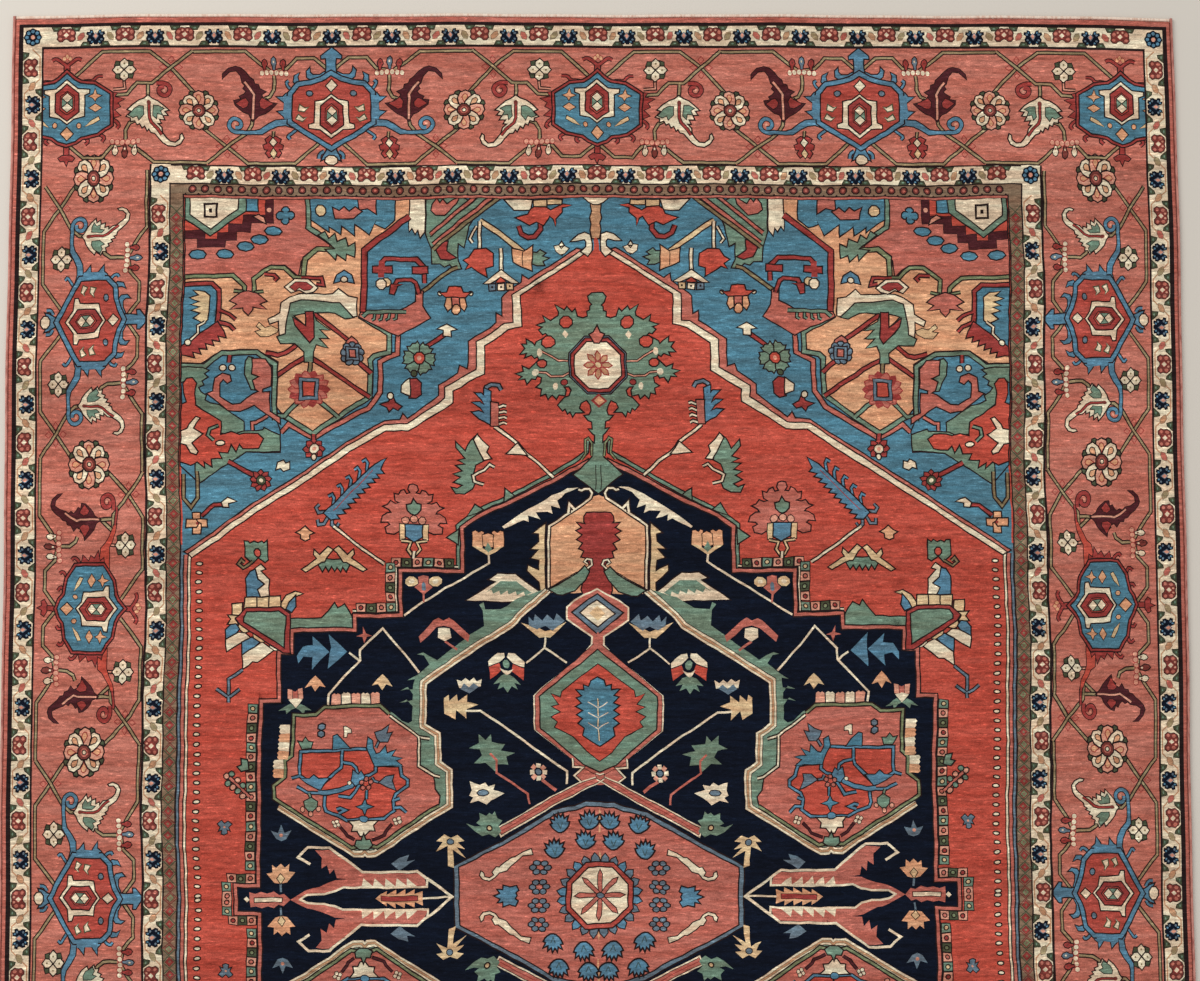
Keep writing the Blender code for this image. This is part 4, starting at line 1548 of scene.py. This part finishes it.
def tile_of(shapes, edges, boxes, low, high):
    """One tile of the chart: its points, its triangles and the dye of each."""
    near = (boxes[:, :2] <= high).all(axis=1) & (boxes[:, 2:] >= low).all(axis=1)
    here = np.flatnonzero(near)
    starts, ends = (np.vstack([edges[i][end] for i in here]) for end in (0, 1))
    starts, ends = clipped(starts, ends, low, high)
    across = np.linspace(low[0], high[0], max(2, 1 + round((high[0] - low[0]) / SPACING)))
    along = np.linspace(low[1], high[1], max(2, 1 + round((high[1] - low[1]) / SPACING)))
    grid = np.stack(np.meshgrid(across, along), axis=-1).reshape(-1, 2)
    corners = np.array(((low[0], low[1]), (high[0], low[1]), (high[0], high[1]), (low[0], high[1])))
    places = np.round(np.vstack((starts, ends, corners, grid)) / FINEST).astype(np.int64)
    places, number = np.unique(places, axis=0, return_inverse=True)
    number = number.ravel()
    count = len(starts)
    pairs = np.stack((number[:count], number[count:2 * count]), axis=1)
    border = number[2 * count:2 * count + 4]
    pairs = np.vstack((pairs, np.stack((border, np.roll(border, -1)), axis=1)))
    pairs = np.unique(np.sort(pairs[pairs[:, 0] != pairs[:, 1]], axis=1), axis=0)
    points = [Vector(place) for place in (places * FINEST).tolist()]
    made = delaunay_2d_cdt(points, pairs.tolist(), [], 0, FINEST / 10, False)
    points = np.array([tuple(point) for point in made[0]])
    triangles = np.array([face for face in made[2] if len(face) == 3])
    middles = points[triangles].mean(axis=1)
    dyes = np.zeros(len(triangles), int)
    for i in here:
        lines, dye = shapes[i]
        inside = (middles >= boxes[i, :2]).all(axis=1) & (middles <= boxes[i, 2:]).all(axis=1)
        maybe = np.flatnonzero(inside)
        if len(maybe):
            dyes[maybe[within(middles[maybe], lines)]] = dye
    return points, triangles, dyes


def coarse(shapes):
    """The shapes that show on the back: none of the outlines and the smallest marks."""
    kept = []
    for lines, dye in shapes:
        every = np.vstack(lines)
        wide, tall = every.max(axis=0) - every.min(axis=0)
        if DYE_NAMES[dye] != "outline" and min(wide, tall) > COARSEST and max(wide, tall) > 2 * COARSEST:
            kept.append((lines, dye))
    return kept


def knotted(shapes):
    """The whole quarter: points in knots, triangles, and the dye of each triangle."""
    edges, boxes = [], []
    for lines, _ in shapes:
        parts = [split(line) for line in lines]
        edges.append(tuple(np.vstack([part[end] for part in parts]) for end in (0, 1)))
        every = np.vstack(lines)
        boxes.append((*every.min(axis=0), *every.max(axis=0)))
    boxes = np.array(boxes)
    cuts = [
        np.unique(np.append(np.arange(0, reach, TILE), reach)) for reach in (PILE_ACROSS, PILE_ALONG)
    ]
    points, triangles, dyes, count = [], [], [], 0
    for left, right in zip(cuts[0], cuts[0][1:]):
        for low, high in zip(cuts[1], cuts[1][1:]):
            found = tile_of(shapes, edges, boxes, (left, low), (right, high))
            points.append(found[0])
            triangles.append(found[1] + count)
            dyes.append(found[2])
            count += len(found[0])
    places = np.round(np.vstack(points) / FINEST).astype(np.int64)
    places, number = np.unique(places, axis=0, return_inverse=True)
    triangles, dyes = number.ravel()[np.vstack(triangles)], np.concatenate(dyes)
    whole = (triangles[:, 0] != triangles[:, 1]) & (triangles[:, 1] != triangles[:, 2])
    whole &= triangles[:, 0] != triangles[:, 2]
    return places * FINEST, triangles[whole], dyes[whole]


# How the rug lies


def wander(along, half_span, ripples):
    """How far the edge lies inside its straight line, at places along it measured from its middle."""
    inwards = CORNER_DRAW * np.abs(along / half_span) ** CORNER_POWER
    for wavelength, depth, phase in ripples:
        inwards = inwards + depth * (1 + np.sin(math.tau * along / wavelength + phase)) / 2
    return inwards


def side_x(y, inset):
    """The right edge's x at a place along the length. The left edge is the same one turned round."""
    return RUG_WIDTH / 2 - wander(y, RUG_LENGTH / 2, SIDE_RIPPLES) - inset


def end_y(x, inset):
    """The far edge's y at a place across the width. The near edge is the same one turned round."""
    return RUG_LENGTH / 2 - wander(x, RUG_WIDTH / 2, END_RIPPLES) - inset


# Hand weaving bends every line a little: size in metres, waves per metre across and along, phase.
BENDS_ACROSS = (
    (0.0016, 0.9, 1.7, 0.3),
    (0.0009, 3.1, 5.3, 1.1),
    (0.0005, 11.0, 17.0, 2.0),
    (0.0004, 23.0, 41.0, 0.6),
)
BENDS_ALONG = (
    (0.0018, 1.4, 0.8, 2.2),
    (0.0009, 4.7, 2.9, 0.7),
    (0.0005, 19.0, 13.0, 4.1),
    (0.0004, 43.0, 21.0, 2.7),
)
CALM_POWER = 8  # the bends fade out at the edges
# Where the pile lies lower: the share of its depth, waves per metre across and along, phase.
PILE_DIPS = ((0.10, 2.3, 1.1, 0.5), (0.12, 7.0, 5.0, 1.9), (0.10, 23.0, 17.0, 0.2))
DIP_DEPTH = 0.0011


def waves(x, y, rows):
    """The sum of some slow waves over the floor."""
    total = 0.0
    for size, across, along, phase in rows:
        total = total + size * np.sin(math.tau * (across * x + along * y) + phase)
    return total


def laid(across, along):
    """Where some places of the chart lie on the floor, in metres."""
    x, y = across * KNOT_WIDE, along * KNOT_LONG
    half_wide, half_long = PILE_ACROSS * KNOT_WIDE, PILE_ALONG * KNOT_LONG
    calm_x = 1 - np.abs(x / half_wide) ** CALM_POWER
    calm_y = 1 - np.abs(y / half_long) ** CALM_POWER
    bent_x = x + calm_x * waves(x, y, BENDS_ACROSS)
    bent_y = y + calm_y * waves(x, y, BENDS_ALONG)
    side_inset, end_inset = RUG_WIDTH / 2 - half_wide, RUG_LENGTH / 2 - half_long
    side = np.where(x > 0, side_x(y, side_inset), side_x(-y, side_inset)) / half_wide
    end = np.where(y > 0, end_y(x, end_inset), end_y(-x, end_inset)) / half_long
    return bent_x * side, bent_y * end


def new_piece(name, points, faces, material, node):
    """A mesh piece that rides on the rug and stands for a node of the model."""
    mesh = bpy.data.meshes.new(name)
    mesh.from_pydata(points.tolist(), [], faces)
    mesh.update()
    mesh.materials.append(material)
    piece = bpy.data.objects.new(name, mesh)
    bpy.context.scene.collection.objects.link(piece)
    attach(piece, "root")
    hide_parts(node)
    return piece


def dye_faces(piece, dyes):
    """Gives each face its dye as a colour attribute."""
    colours = np.array([[linear(level) for level in DYES[name]] + [1.0] for name in DYE_NAMES])
    attribute = piece.data.color_attributes.new(name="dye", type="FLOAT_COLOR", domain="CORNER")
    sides = np.array([polygon.loop_total for polygon in piece.data.polygons])
    attribute.data.foreach_set("color", colours[np.repeat(dyes, sides)].astype(np.float32).ravel())


def rim_of(points, across, along):
    """The places in order round the outer edge of a quarter, from its side's middle to its end's middle."""
    on_side = np.flatnonzero(np.abs(points[:, 0] - across) < FINEST * 2)
    on_end = np.flatnonzero(np.abs(points[:, 1] - along) < FINEST * 2)
    on_side = on_side[np.argsort(points[on_side, 1])]
    on_end = on_end[np.argsort(-points[on_end, 0])]
    return on_side, on_end[1:]


def rim_and_way(knots, across_way, along_way):
    """The numbers of the places round a quarter's outer edge, and which way is out at each."""
    across = round(PILE_ACROSS / FINEST) * FINEST
    along = round(PILE_ALONG / FINEST) * FINEST
    on_side, on_end = rim_of(knots, across, along)
    rim = np.concatenate((on_side, on_end))
    outwards = np.zeros((len(rim), 2))
    outwards[:len(on_side), 0] = across_way
    outwards[len(on_side) - 1:, 1] = along_way
    return rim, outwards


def pile_quarter(name, flat, across_way, along_way, wool):
    """The pile of one quarter, with its rim."""
    knots, triangles, dyes = flat
    x, y = laid(knots[:, 0] * across_way, knots[:, 1] * along_way)
    dips = DIP_DEPTH * (0.5 + waves(x, y, PILE_DIPS)).clip(0, 1)
    top = np.stack((x, y, RUG_THICKNESS - dips), axis=1)
    turned = across_way * along_way < 0
    faces = triangles[:, ::-1] if turned else triangles
    rim, outwards = rim_and_way(knots, across_way, along_way)
    rings, numbers = [top], [rim]
    start = len(top)
    for lean, height in RIM_STEPS[1:]:
        ring = top[rim].copy()
        ring[:, :2] += outwards * (RIM_STEPS[0][0] - lean)
        ring[:, 2] = height * RUG_THICKNESS
        rings.append(ring)
        numbers.append(np.arange(start, start + len(rim)))
        start += len(rim)
    sides = []
    for upper, lower in zip(numbers, numbers[1:]):
        for i in range(len(rim) - 1):
            side = (int(upper[i]), int(lower[i]), int(lower[i + 1]), int(upper[i + 1]))
            sides.append(side[::-1] if turned else side)
    faces = faces.tolist() + sides
    piece = new_piece(f"pile_{name}", np.vstack(rings), faces, wool, "rug_body")
    dye_faces(piece, np.concatenate((dyes, np.full(len(sides), DYE_NAMES.index("rose")))))
    piece.data.shade_smooth()
    return piece


def back_quarter(name, flat, across_way, along_way, wool):
    """The back of one quarter's knots, flat on the floor."""
    knots, triangles, dyes = flat
    x, y = laid(knots[:, 0] * across_way, knots[:, 1] * along_way)
    rim, outwards = rim_and_way(knots, across_way, along_way)
    under = np.stack((x, y, np.zeros(len(x))), axis=1)
    under[rim, :2] += outwards * RIM_STEPS[0][0]
    faces = triangles if across_way * along_way < 0 else triangles[:, ::-1]
    piece = new_piece(f"back_{name}", under, faces.tolist(), wool, "rug_body")
    dye_faces(piece, dyes)
    return piece


# Shader expressions


class Value:
    """A number or colour that varies over a surface. Arithmetic on numbers adds Math nodes."""

    def __init__(self, paint, socket):
        self.paint = paint
        self.socket = socket

    def __add__(self, other):
        return self.paint.math("ADD", self, other)

    __radd__ = __add__

    def __mul__(self, other):
        return self.paint.math("MULTIPLY", self, other)

    __rmul__ = __mul__


class Paint:
    """One material and its nodes."""

    def __init__(self, name):
        self.material = bpy.data.materials.new(name)
        self.material.use_nodes = True
        self.tree = self.material.node_tree
        self.surface = self.tree.nodes["Principled BSDF"]

    def node(self, kind, settings, sockets):
        """A node of a kind. Its settings are set first, then the value or link of each socket."""
        node = self.tree.nodes.new(kind)
        for name, value in settings.items():
            setattr(node, name, value)
        for name, value in sockets.items():
            self.put(node.inputs[name], value)
        return node

    def put(self, socket, value):
        """Links a varying value to a socket, or sets a plain one."""
        if isinstance(value, Value):
            self.tree.links.new(value.socket, socket)
        else:
            socket.default_value = value

    def math(self, operation, first, second):
        """The sum or product of two numbers, by its operation's name."""
        node = self.node("ShaderNodeMath", {"operation": operation}, {0: first, 1: second})
        return Value(self, node.outputs[0])

    def places(self, scale):
        """The place on the rug, in metres, stretched by a scale."""
        where = Value(self, self.node("ShaderNodeTexCoord", {}, {}).outputs["Object"])
        settings = {"operation": "MULTIPLY"}
        return Value(self, self.node("ShaderNodeVectorMath", settings, {0: where, 1: scale}).outputs[0])

    def noise(self, scale, detail=2.0, roughness=0.5):
        """Cloudy noise from about 0 to 1, as many clouds a metre as the scale says each way."""
        sockets = {"Vector": self.places(scale), "Scale": 1.0, "Detail": detail, "Roughness": roughness}
        node = self.node("ShaderNodeTexNoise", {"noise_dimensions": "3D"}, sockets)
        return Value(self, node.outputs["Fac"])

    def attribute(self, name):
        """The colour that each face holds under a name."""
        return Value(self, self.node("ShaderNodeAttribute", {"attribute_name": name}, {}).outputs["Color"])

    def mix(self, share, first, second, blend="MIX"):
        """Two colours mixed by a share."""
        settings = {"data_type": "RGBA", "blend_type": blend, "clamp_factor": True}
        node = self.node("ShaderNodeMix", settings, {})
        self.put(node.inputs[0], share)
        self.put(node.inputs[6], first)
        self.put(node.inputs[7], second)
        return Value(self, node.outputs[2])

    def spread(self, value, low, high, new_low=0.0, new_high=1.0):
        """A value moved from one range to another, and held there."""
        sockets = {"Value": value, "From Min": low, "From Max": high, "To Min": new_low, "To Max": new_high}
        return Value(self, self.node("ShaderNodeMapRange", {"clamp": True}, sockets).outputs[0])

    def bump(self, height, depth):
        """A bump of a depth in metres, on the surface's normal."""
        node = self.node("ShaderNodeBump", {}, {"Height": height, "Distance": depth, "Strength": 1.0})
        self.tree.links.new(node.outputs[0], self.surface.inputs["Normal"])

    def colour(self, value):
        """Gives the surface its colour."""
        self.put(self.surface.inputs["Base Color"], value)


def wool(name, dull, bump_depth):
    """Dyed wool: streaks of uneven dye along the rows, lighter flecks, and the tips of the knots."""
    paint = Paint(name)
    dye = paint.attribute("dye")
    bands = paint.noise((0.5, 11.0, 1.0), 3.0)
    drifts = paint.noise((9.0, 75.0, 1.0), 2.0)
    streaks = paint.noise((42.0, 230.0, 1.0), 3.0, 0.65)
    flecks = paint.noise((95.0, 430.0, 1.0), 1.0)
    knots = paint.noise((620.0, 620.0, 620.0), 1.0)
    shade = paint.spread(bands, 0.34, 0.66, 0.86, 1.12) * paint.spread(drifts, 0.3, 0.7, 0.84, 1.16)
    shade = shade * paint.spread(streaks, 0.3, 0.7, 0.62, 1.38)
    shade = shade * paint.spread(knots, 0.25, 0.75, 0.74, 1.26)
    fleck = paint.spread(flecks, 0.60, 0.76)
    shade = shade * (1 + 0.9 * fleck)
    combined = paint.node("ShaderNodeCombineColor", {}, {"Red": shade, "Green": shade, "Blue": shade})
    shaded = paint.mix(1.0, dye, Value(paint, combined.outputs[0]), "MULTIPLY")
    warm = paint.mix(paint.spread(drifts, 0.4, 0.6), (1.0, 0.90, 0.86, 1.0), (0.95, 1.0, 1.0, 1.0))
    worn = paint.mix(1.0, shaded, warm, "MULTIPLY")
    if dull:
        worn = paint.mix(dull, worn, (0.42, 0.34, 0.27, 1.0))
    paint.colour(worn)
    paint.surface.inputs["Roughness"].default_value = 0.95
    paint.surface.inputs["Specular IOR Level"].default_value = 0.10
    paint.bump(knots + 0.8 * streaks, bump_depth)
    return paint.material


def yarn(name, colour, shadow):
    """Plain sewing yarn, a little uneven in its dye."""
    paint = Paint(name)
    turns = paint.noise((300.0, 60.0, 300.0), 2.0)
    fuzz = paint.noise((900.0, 900.0, 900.0), 1.0)
    share = paint.spread(turns, 0.42, 0.72)
    paint.colour(paint.mix(share, colour, shadow))
    paint.surface.inputs["Roughness"].default_value = 0.92
    paint.surface.inputs["Specular IOR Level"].default_value = 0.15
    paint.bump(fuzz, 0.0003)
    return paint.material


# The cords along the sides and the bindings on the ends

CORD_SIDES = 10
WRAP = 0.0042  # how far one turn of the overcast yarn goes along, in metres
WRAP_STEPS = 3
WRAP_DEPTH = 0.085  # how much lower the yarn is between two turns, as a share of the cord


def wrapped(name, places, width, height, lean, material, node):
    """A flat-bottomed roll wrapped in yarn along a line of places (x, y, sideways x, sideways y)."""
    count = len(places)
    angles = np.arange(CORD_SIDES) * math.tau / CORD_SIDES
    step = np.arange(count)[:, None] / WRAP_STEPS
    ridge = 1 - WRAP_DEPTH * (0.5 + 0.5 * np.cos(math.tau * step + lean * angles[None, :]))
    out = ridge * np.cos(angles)[None, :] * width / 2 + width / 2
    up = (ridge * np.sin(angles)[None, :] * height / 2 + height / 2).clip(0.0, height)
    points = np.empty((count, CORD_SIDES, 3))
    points[:, :, 0] = places[:, 0:1] + places[:, 2:3] * out
    points[:, :, 1] = places[:, 1:2] + places[:, 3:4] * out
    points[:, :, 2] = up
    faces = []
    for i in range(count - 1):
        for j in range(CORD_SIDES):
            k = (j + 1) % CORD_SIDES
            a, b = i * CORD_SIDES, (i + 1) * CORD_SIDES
            faces.append((a + j, a + k, b + k, b + j))
    faces.append(tuple(range(CORD_SIDES)))
    faces.append(tuple(range((count - 1) * CORD_SIDES, count * CORD_SIDES))[::-1])
    piece = new_piece(name, points.reshape(-1, 3), faces, material, node)
    flip_if_inside_out(piece)
    piece.data.shade_smooth()


def flip_if_inside_out(piece):
    """Turns the faces of a closed piece so that they point outwards."""
    mesh = piece.data
    points = np.array([tuple(vertex.co) for vertex in mesh.vertices])
    mesh.calc_loop_triangles()
    corners = points[np.array([tuple(triangle.vertices) for triangle in mesh.loop_triangles])]
    volume = np.einsum("ij,ij->i", corners[:, 0], np.cross(corners[:, 1], corners[:, 2])).sum()
    if volume < 0:
        mesh.flip_normals()


def far_right_corner(side_inset, end_inset):
    """Where the right edge meets the far edge."""
    x, y = RUG_WIDTH / 2, RUG_LENGTH / 2
    for _ in range(CORNER_TURNS):
        x, y = side_x(y, side_inset), end_y(x, end_inset)
    return float(x), float(y)


def near_right_corner(side_inset, end_inset):
    """Where the right edge meets the near edge."""
    x, y = RUG_WIDTH / 2, -RUG_LENGTH / 2
    for _ in range(CORNER_TURNS):
        x, y = side_x(y, side_inset), -end_y(-x, end_inset)
    return float(x), float(y)


def side_cords(material):
    """Each side's cord, in two lengths that meet at the middle."""
    step = WRAP / WRAP_STEPS
    _, high = far_right_corner(0.0, 0.0)
    _, low = near_right_corner(0.0, 0.0)
    for node, turn in (("side_cord_right", 1), ("side_cord_left", -1)):
        for start, end in ((0.0, high), (low, 0.0)):
            y = np.linspace(start, end, max(2, round((end - start) / step)))
            inner = side_x(y, SIDE_CORD_WIDTH)
            places = np.stack((turn * inner, turn * y, np.full(len(y), turn), np.zeros(len(y))), axis=1)
            half = "far" if (end > 0) == (turn > 0) else "near"
            name = f"{node}_{half}"
            wrapped(name, places, SIDE_CORD_WIDTH, SIDE_CORD_HEIGHT, 1, material, node)


def end_bindings(material):
    """The bound edge at each end."""
    step = WRAP / WRAP_STEPS
    inset = SIDE_CORD_WIDTH + SEAM_GAP
    high, _ = far_right_corner(inset, 0.0)
    low, _ = near_right_corner(inset, 0.0)
    for node, turn in (("end_binding_far", 1), ("end_binding_near", -1)):
        x = np.linspace(-low, high, round((high + low) / step))
        inner = end_y(x, END_BINDING_WIDTH)
        places = np.stack((turn * x, turn * inner, np.zeros(len(x)), np.full(len(x), turn)), axis=1)
        name = f"{node}_yarn"
        wrapped(name, places, END_BINDING_WIDTH, END_BINDING_HEIGHT, 0, material, node)


# The floor, the light and the camera

CAMERA_TARGET = (0.0034, 0.6212, 0.0)  # what lies in the middle of the view
CAMERA_AWAY = 2.994
CAMERA_TILT = 3.127  # degrees: looks a little towards the far end
CAMERA_PAN = -1.002
CAMERA_ROLL = -0.135
CAMERA_LENS = 58.0
SENSOR = 36.0


def make_camera():
    """Nearly straight above, over the far half of the rug."""
    data = bpy.data.cameras.new("camera")
    data.lens = CAMERA_LENS
    data.sensor_width = SENSOR
    data.clip_end = 100.0
    camera = bpy.data.objects.new("camera", data)
    bpy.context.scene.collection.objects.link(camera)
    turned = Matrix.Rotation(math.radians(CAMERA_TILT), 4, "X")
    turned = turned @ Matrix.Rotation(math.radians(CAMERA_PAN), 4, "Y")
    turned = turned @ Matrix.Rotation(math.radians(CAMERA_ROLL), 4, "Z")
    away = turned @ Vector((0, 0, CAMERA_AWAY))
    camera.matrix_world = Matrix.Translation(Vector(CAMERA_TARGET) + away) @ turned
    bpy.context.scene.camera = camera


def make_floor():
    """A plain pale floor just under the rug."""
    mesh = bpy.data.meshes.new("floor")
    reach = 6.0
    below = -0.0002
    corners = [(x * reach, y * reach, below) for x, y in ((-1, -1), (1, -1), (1, 1), (-1, 1))]
    mesh.from_pydata(corners, [], [(0, 1, 2, 3)])
    paint = Paint("pale_floor")
    cloud = paint.noise((1.5, 1.5, 1.5), 2.0)
    paint.colour(paint.mix(cloud, (0.62, 0.57, 0.50, 1.0), (0.66, 0.61, 0.54, 1.0)))
    paint.surface.inputs["Roughness"].default_value = 0.8
    mesh.materials.append(paint.material)
    floor = bpy.data.objects.new("floor", mesh)
    bpy.context.scene.collection.objects.link(floor)


def make_light():
    """Even daylight, with a soft lamp to one side that shows the edges."""
    world = bpy.data.worlds.new("daylight")
    bpy.context.scene.world = world
    world.use_nodes = True
    background = world.node_tree.nodes["Background"]
    background.inputs["Color"].default_value = (1.0, 1.0, 1.0, 1.0)
    background.inputs["Strength"].default_value = 0.72
    panel = bpy.data.lights.new("soft_lamp", "AREA")
    panel.shape = "RECTANGLE"
    panel.size = 3.0
    panel.size_y = 3.0
    panel.energy = 120.0
    lamp = bpy.data.objects.new("soft_lamp", panel)
    bpy.context.scene.collection.objects.link(lamp)
    lamp.location = (-3.2, 2.4, 3.6)
    lamp.rotation_euler = (Vector((0, 0.3, 0)) - lamp.location).to_track_quat("-Z", "Y").to_euler()
    bpy.context.scene.view_settings.view_transform = "Standard"


QUARTERS = (("far_right", 1, 1), ("far_left", -1, 1), ("near_right", 1, -1), ("near_left", -1, -1))


def main():
    """The whole rug, its floor, its light and its camera."""
    make_camera()
    make_floor()
    make_light()
    chart = Chart()
    field(chart)
    bands(chart)
    face = knotted(chart.shapes)
    behind = knotted(coarse(chart.shapes))
    pile_wool = wool("pile_wool", 0.0, 0.0006)
    back_wool = wool("back_wool", 0.18, 0.0003)
    cord_yarn = yarn("cord_yarn", (0.56, 0.25, 0.20, 1.0), (0.32, 0.10, 0.08, 1.0))
    binding_cotton = yarn("binding_cotton", (0.80, 0.66, 0.54, 1.0), (0.62, 0.40, 0.30, 1.0))
    for name, across_way, along_way in QUARTERS:
        pile = pile_quarter(name, face, across_way, along_way, pile_wool)
        back = back_quarter(name, behind, across_way, along_way, back_wool)
    side_cords(cord_yarn)
    end_bindings(binding_cotton)


main()
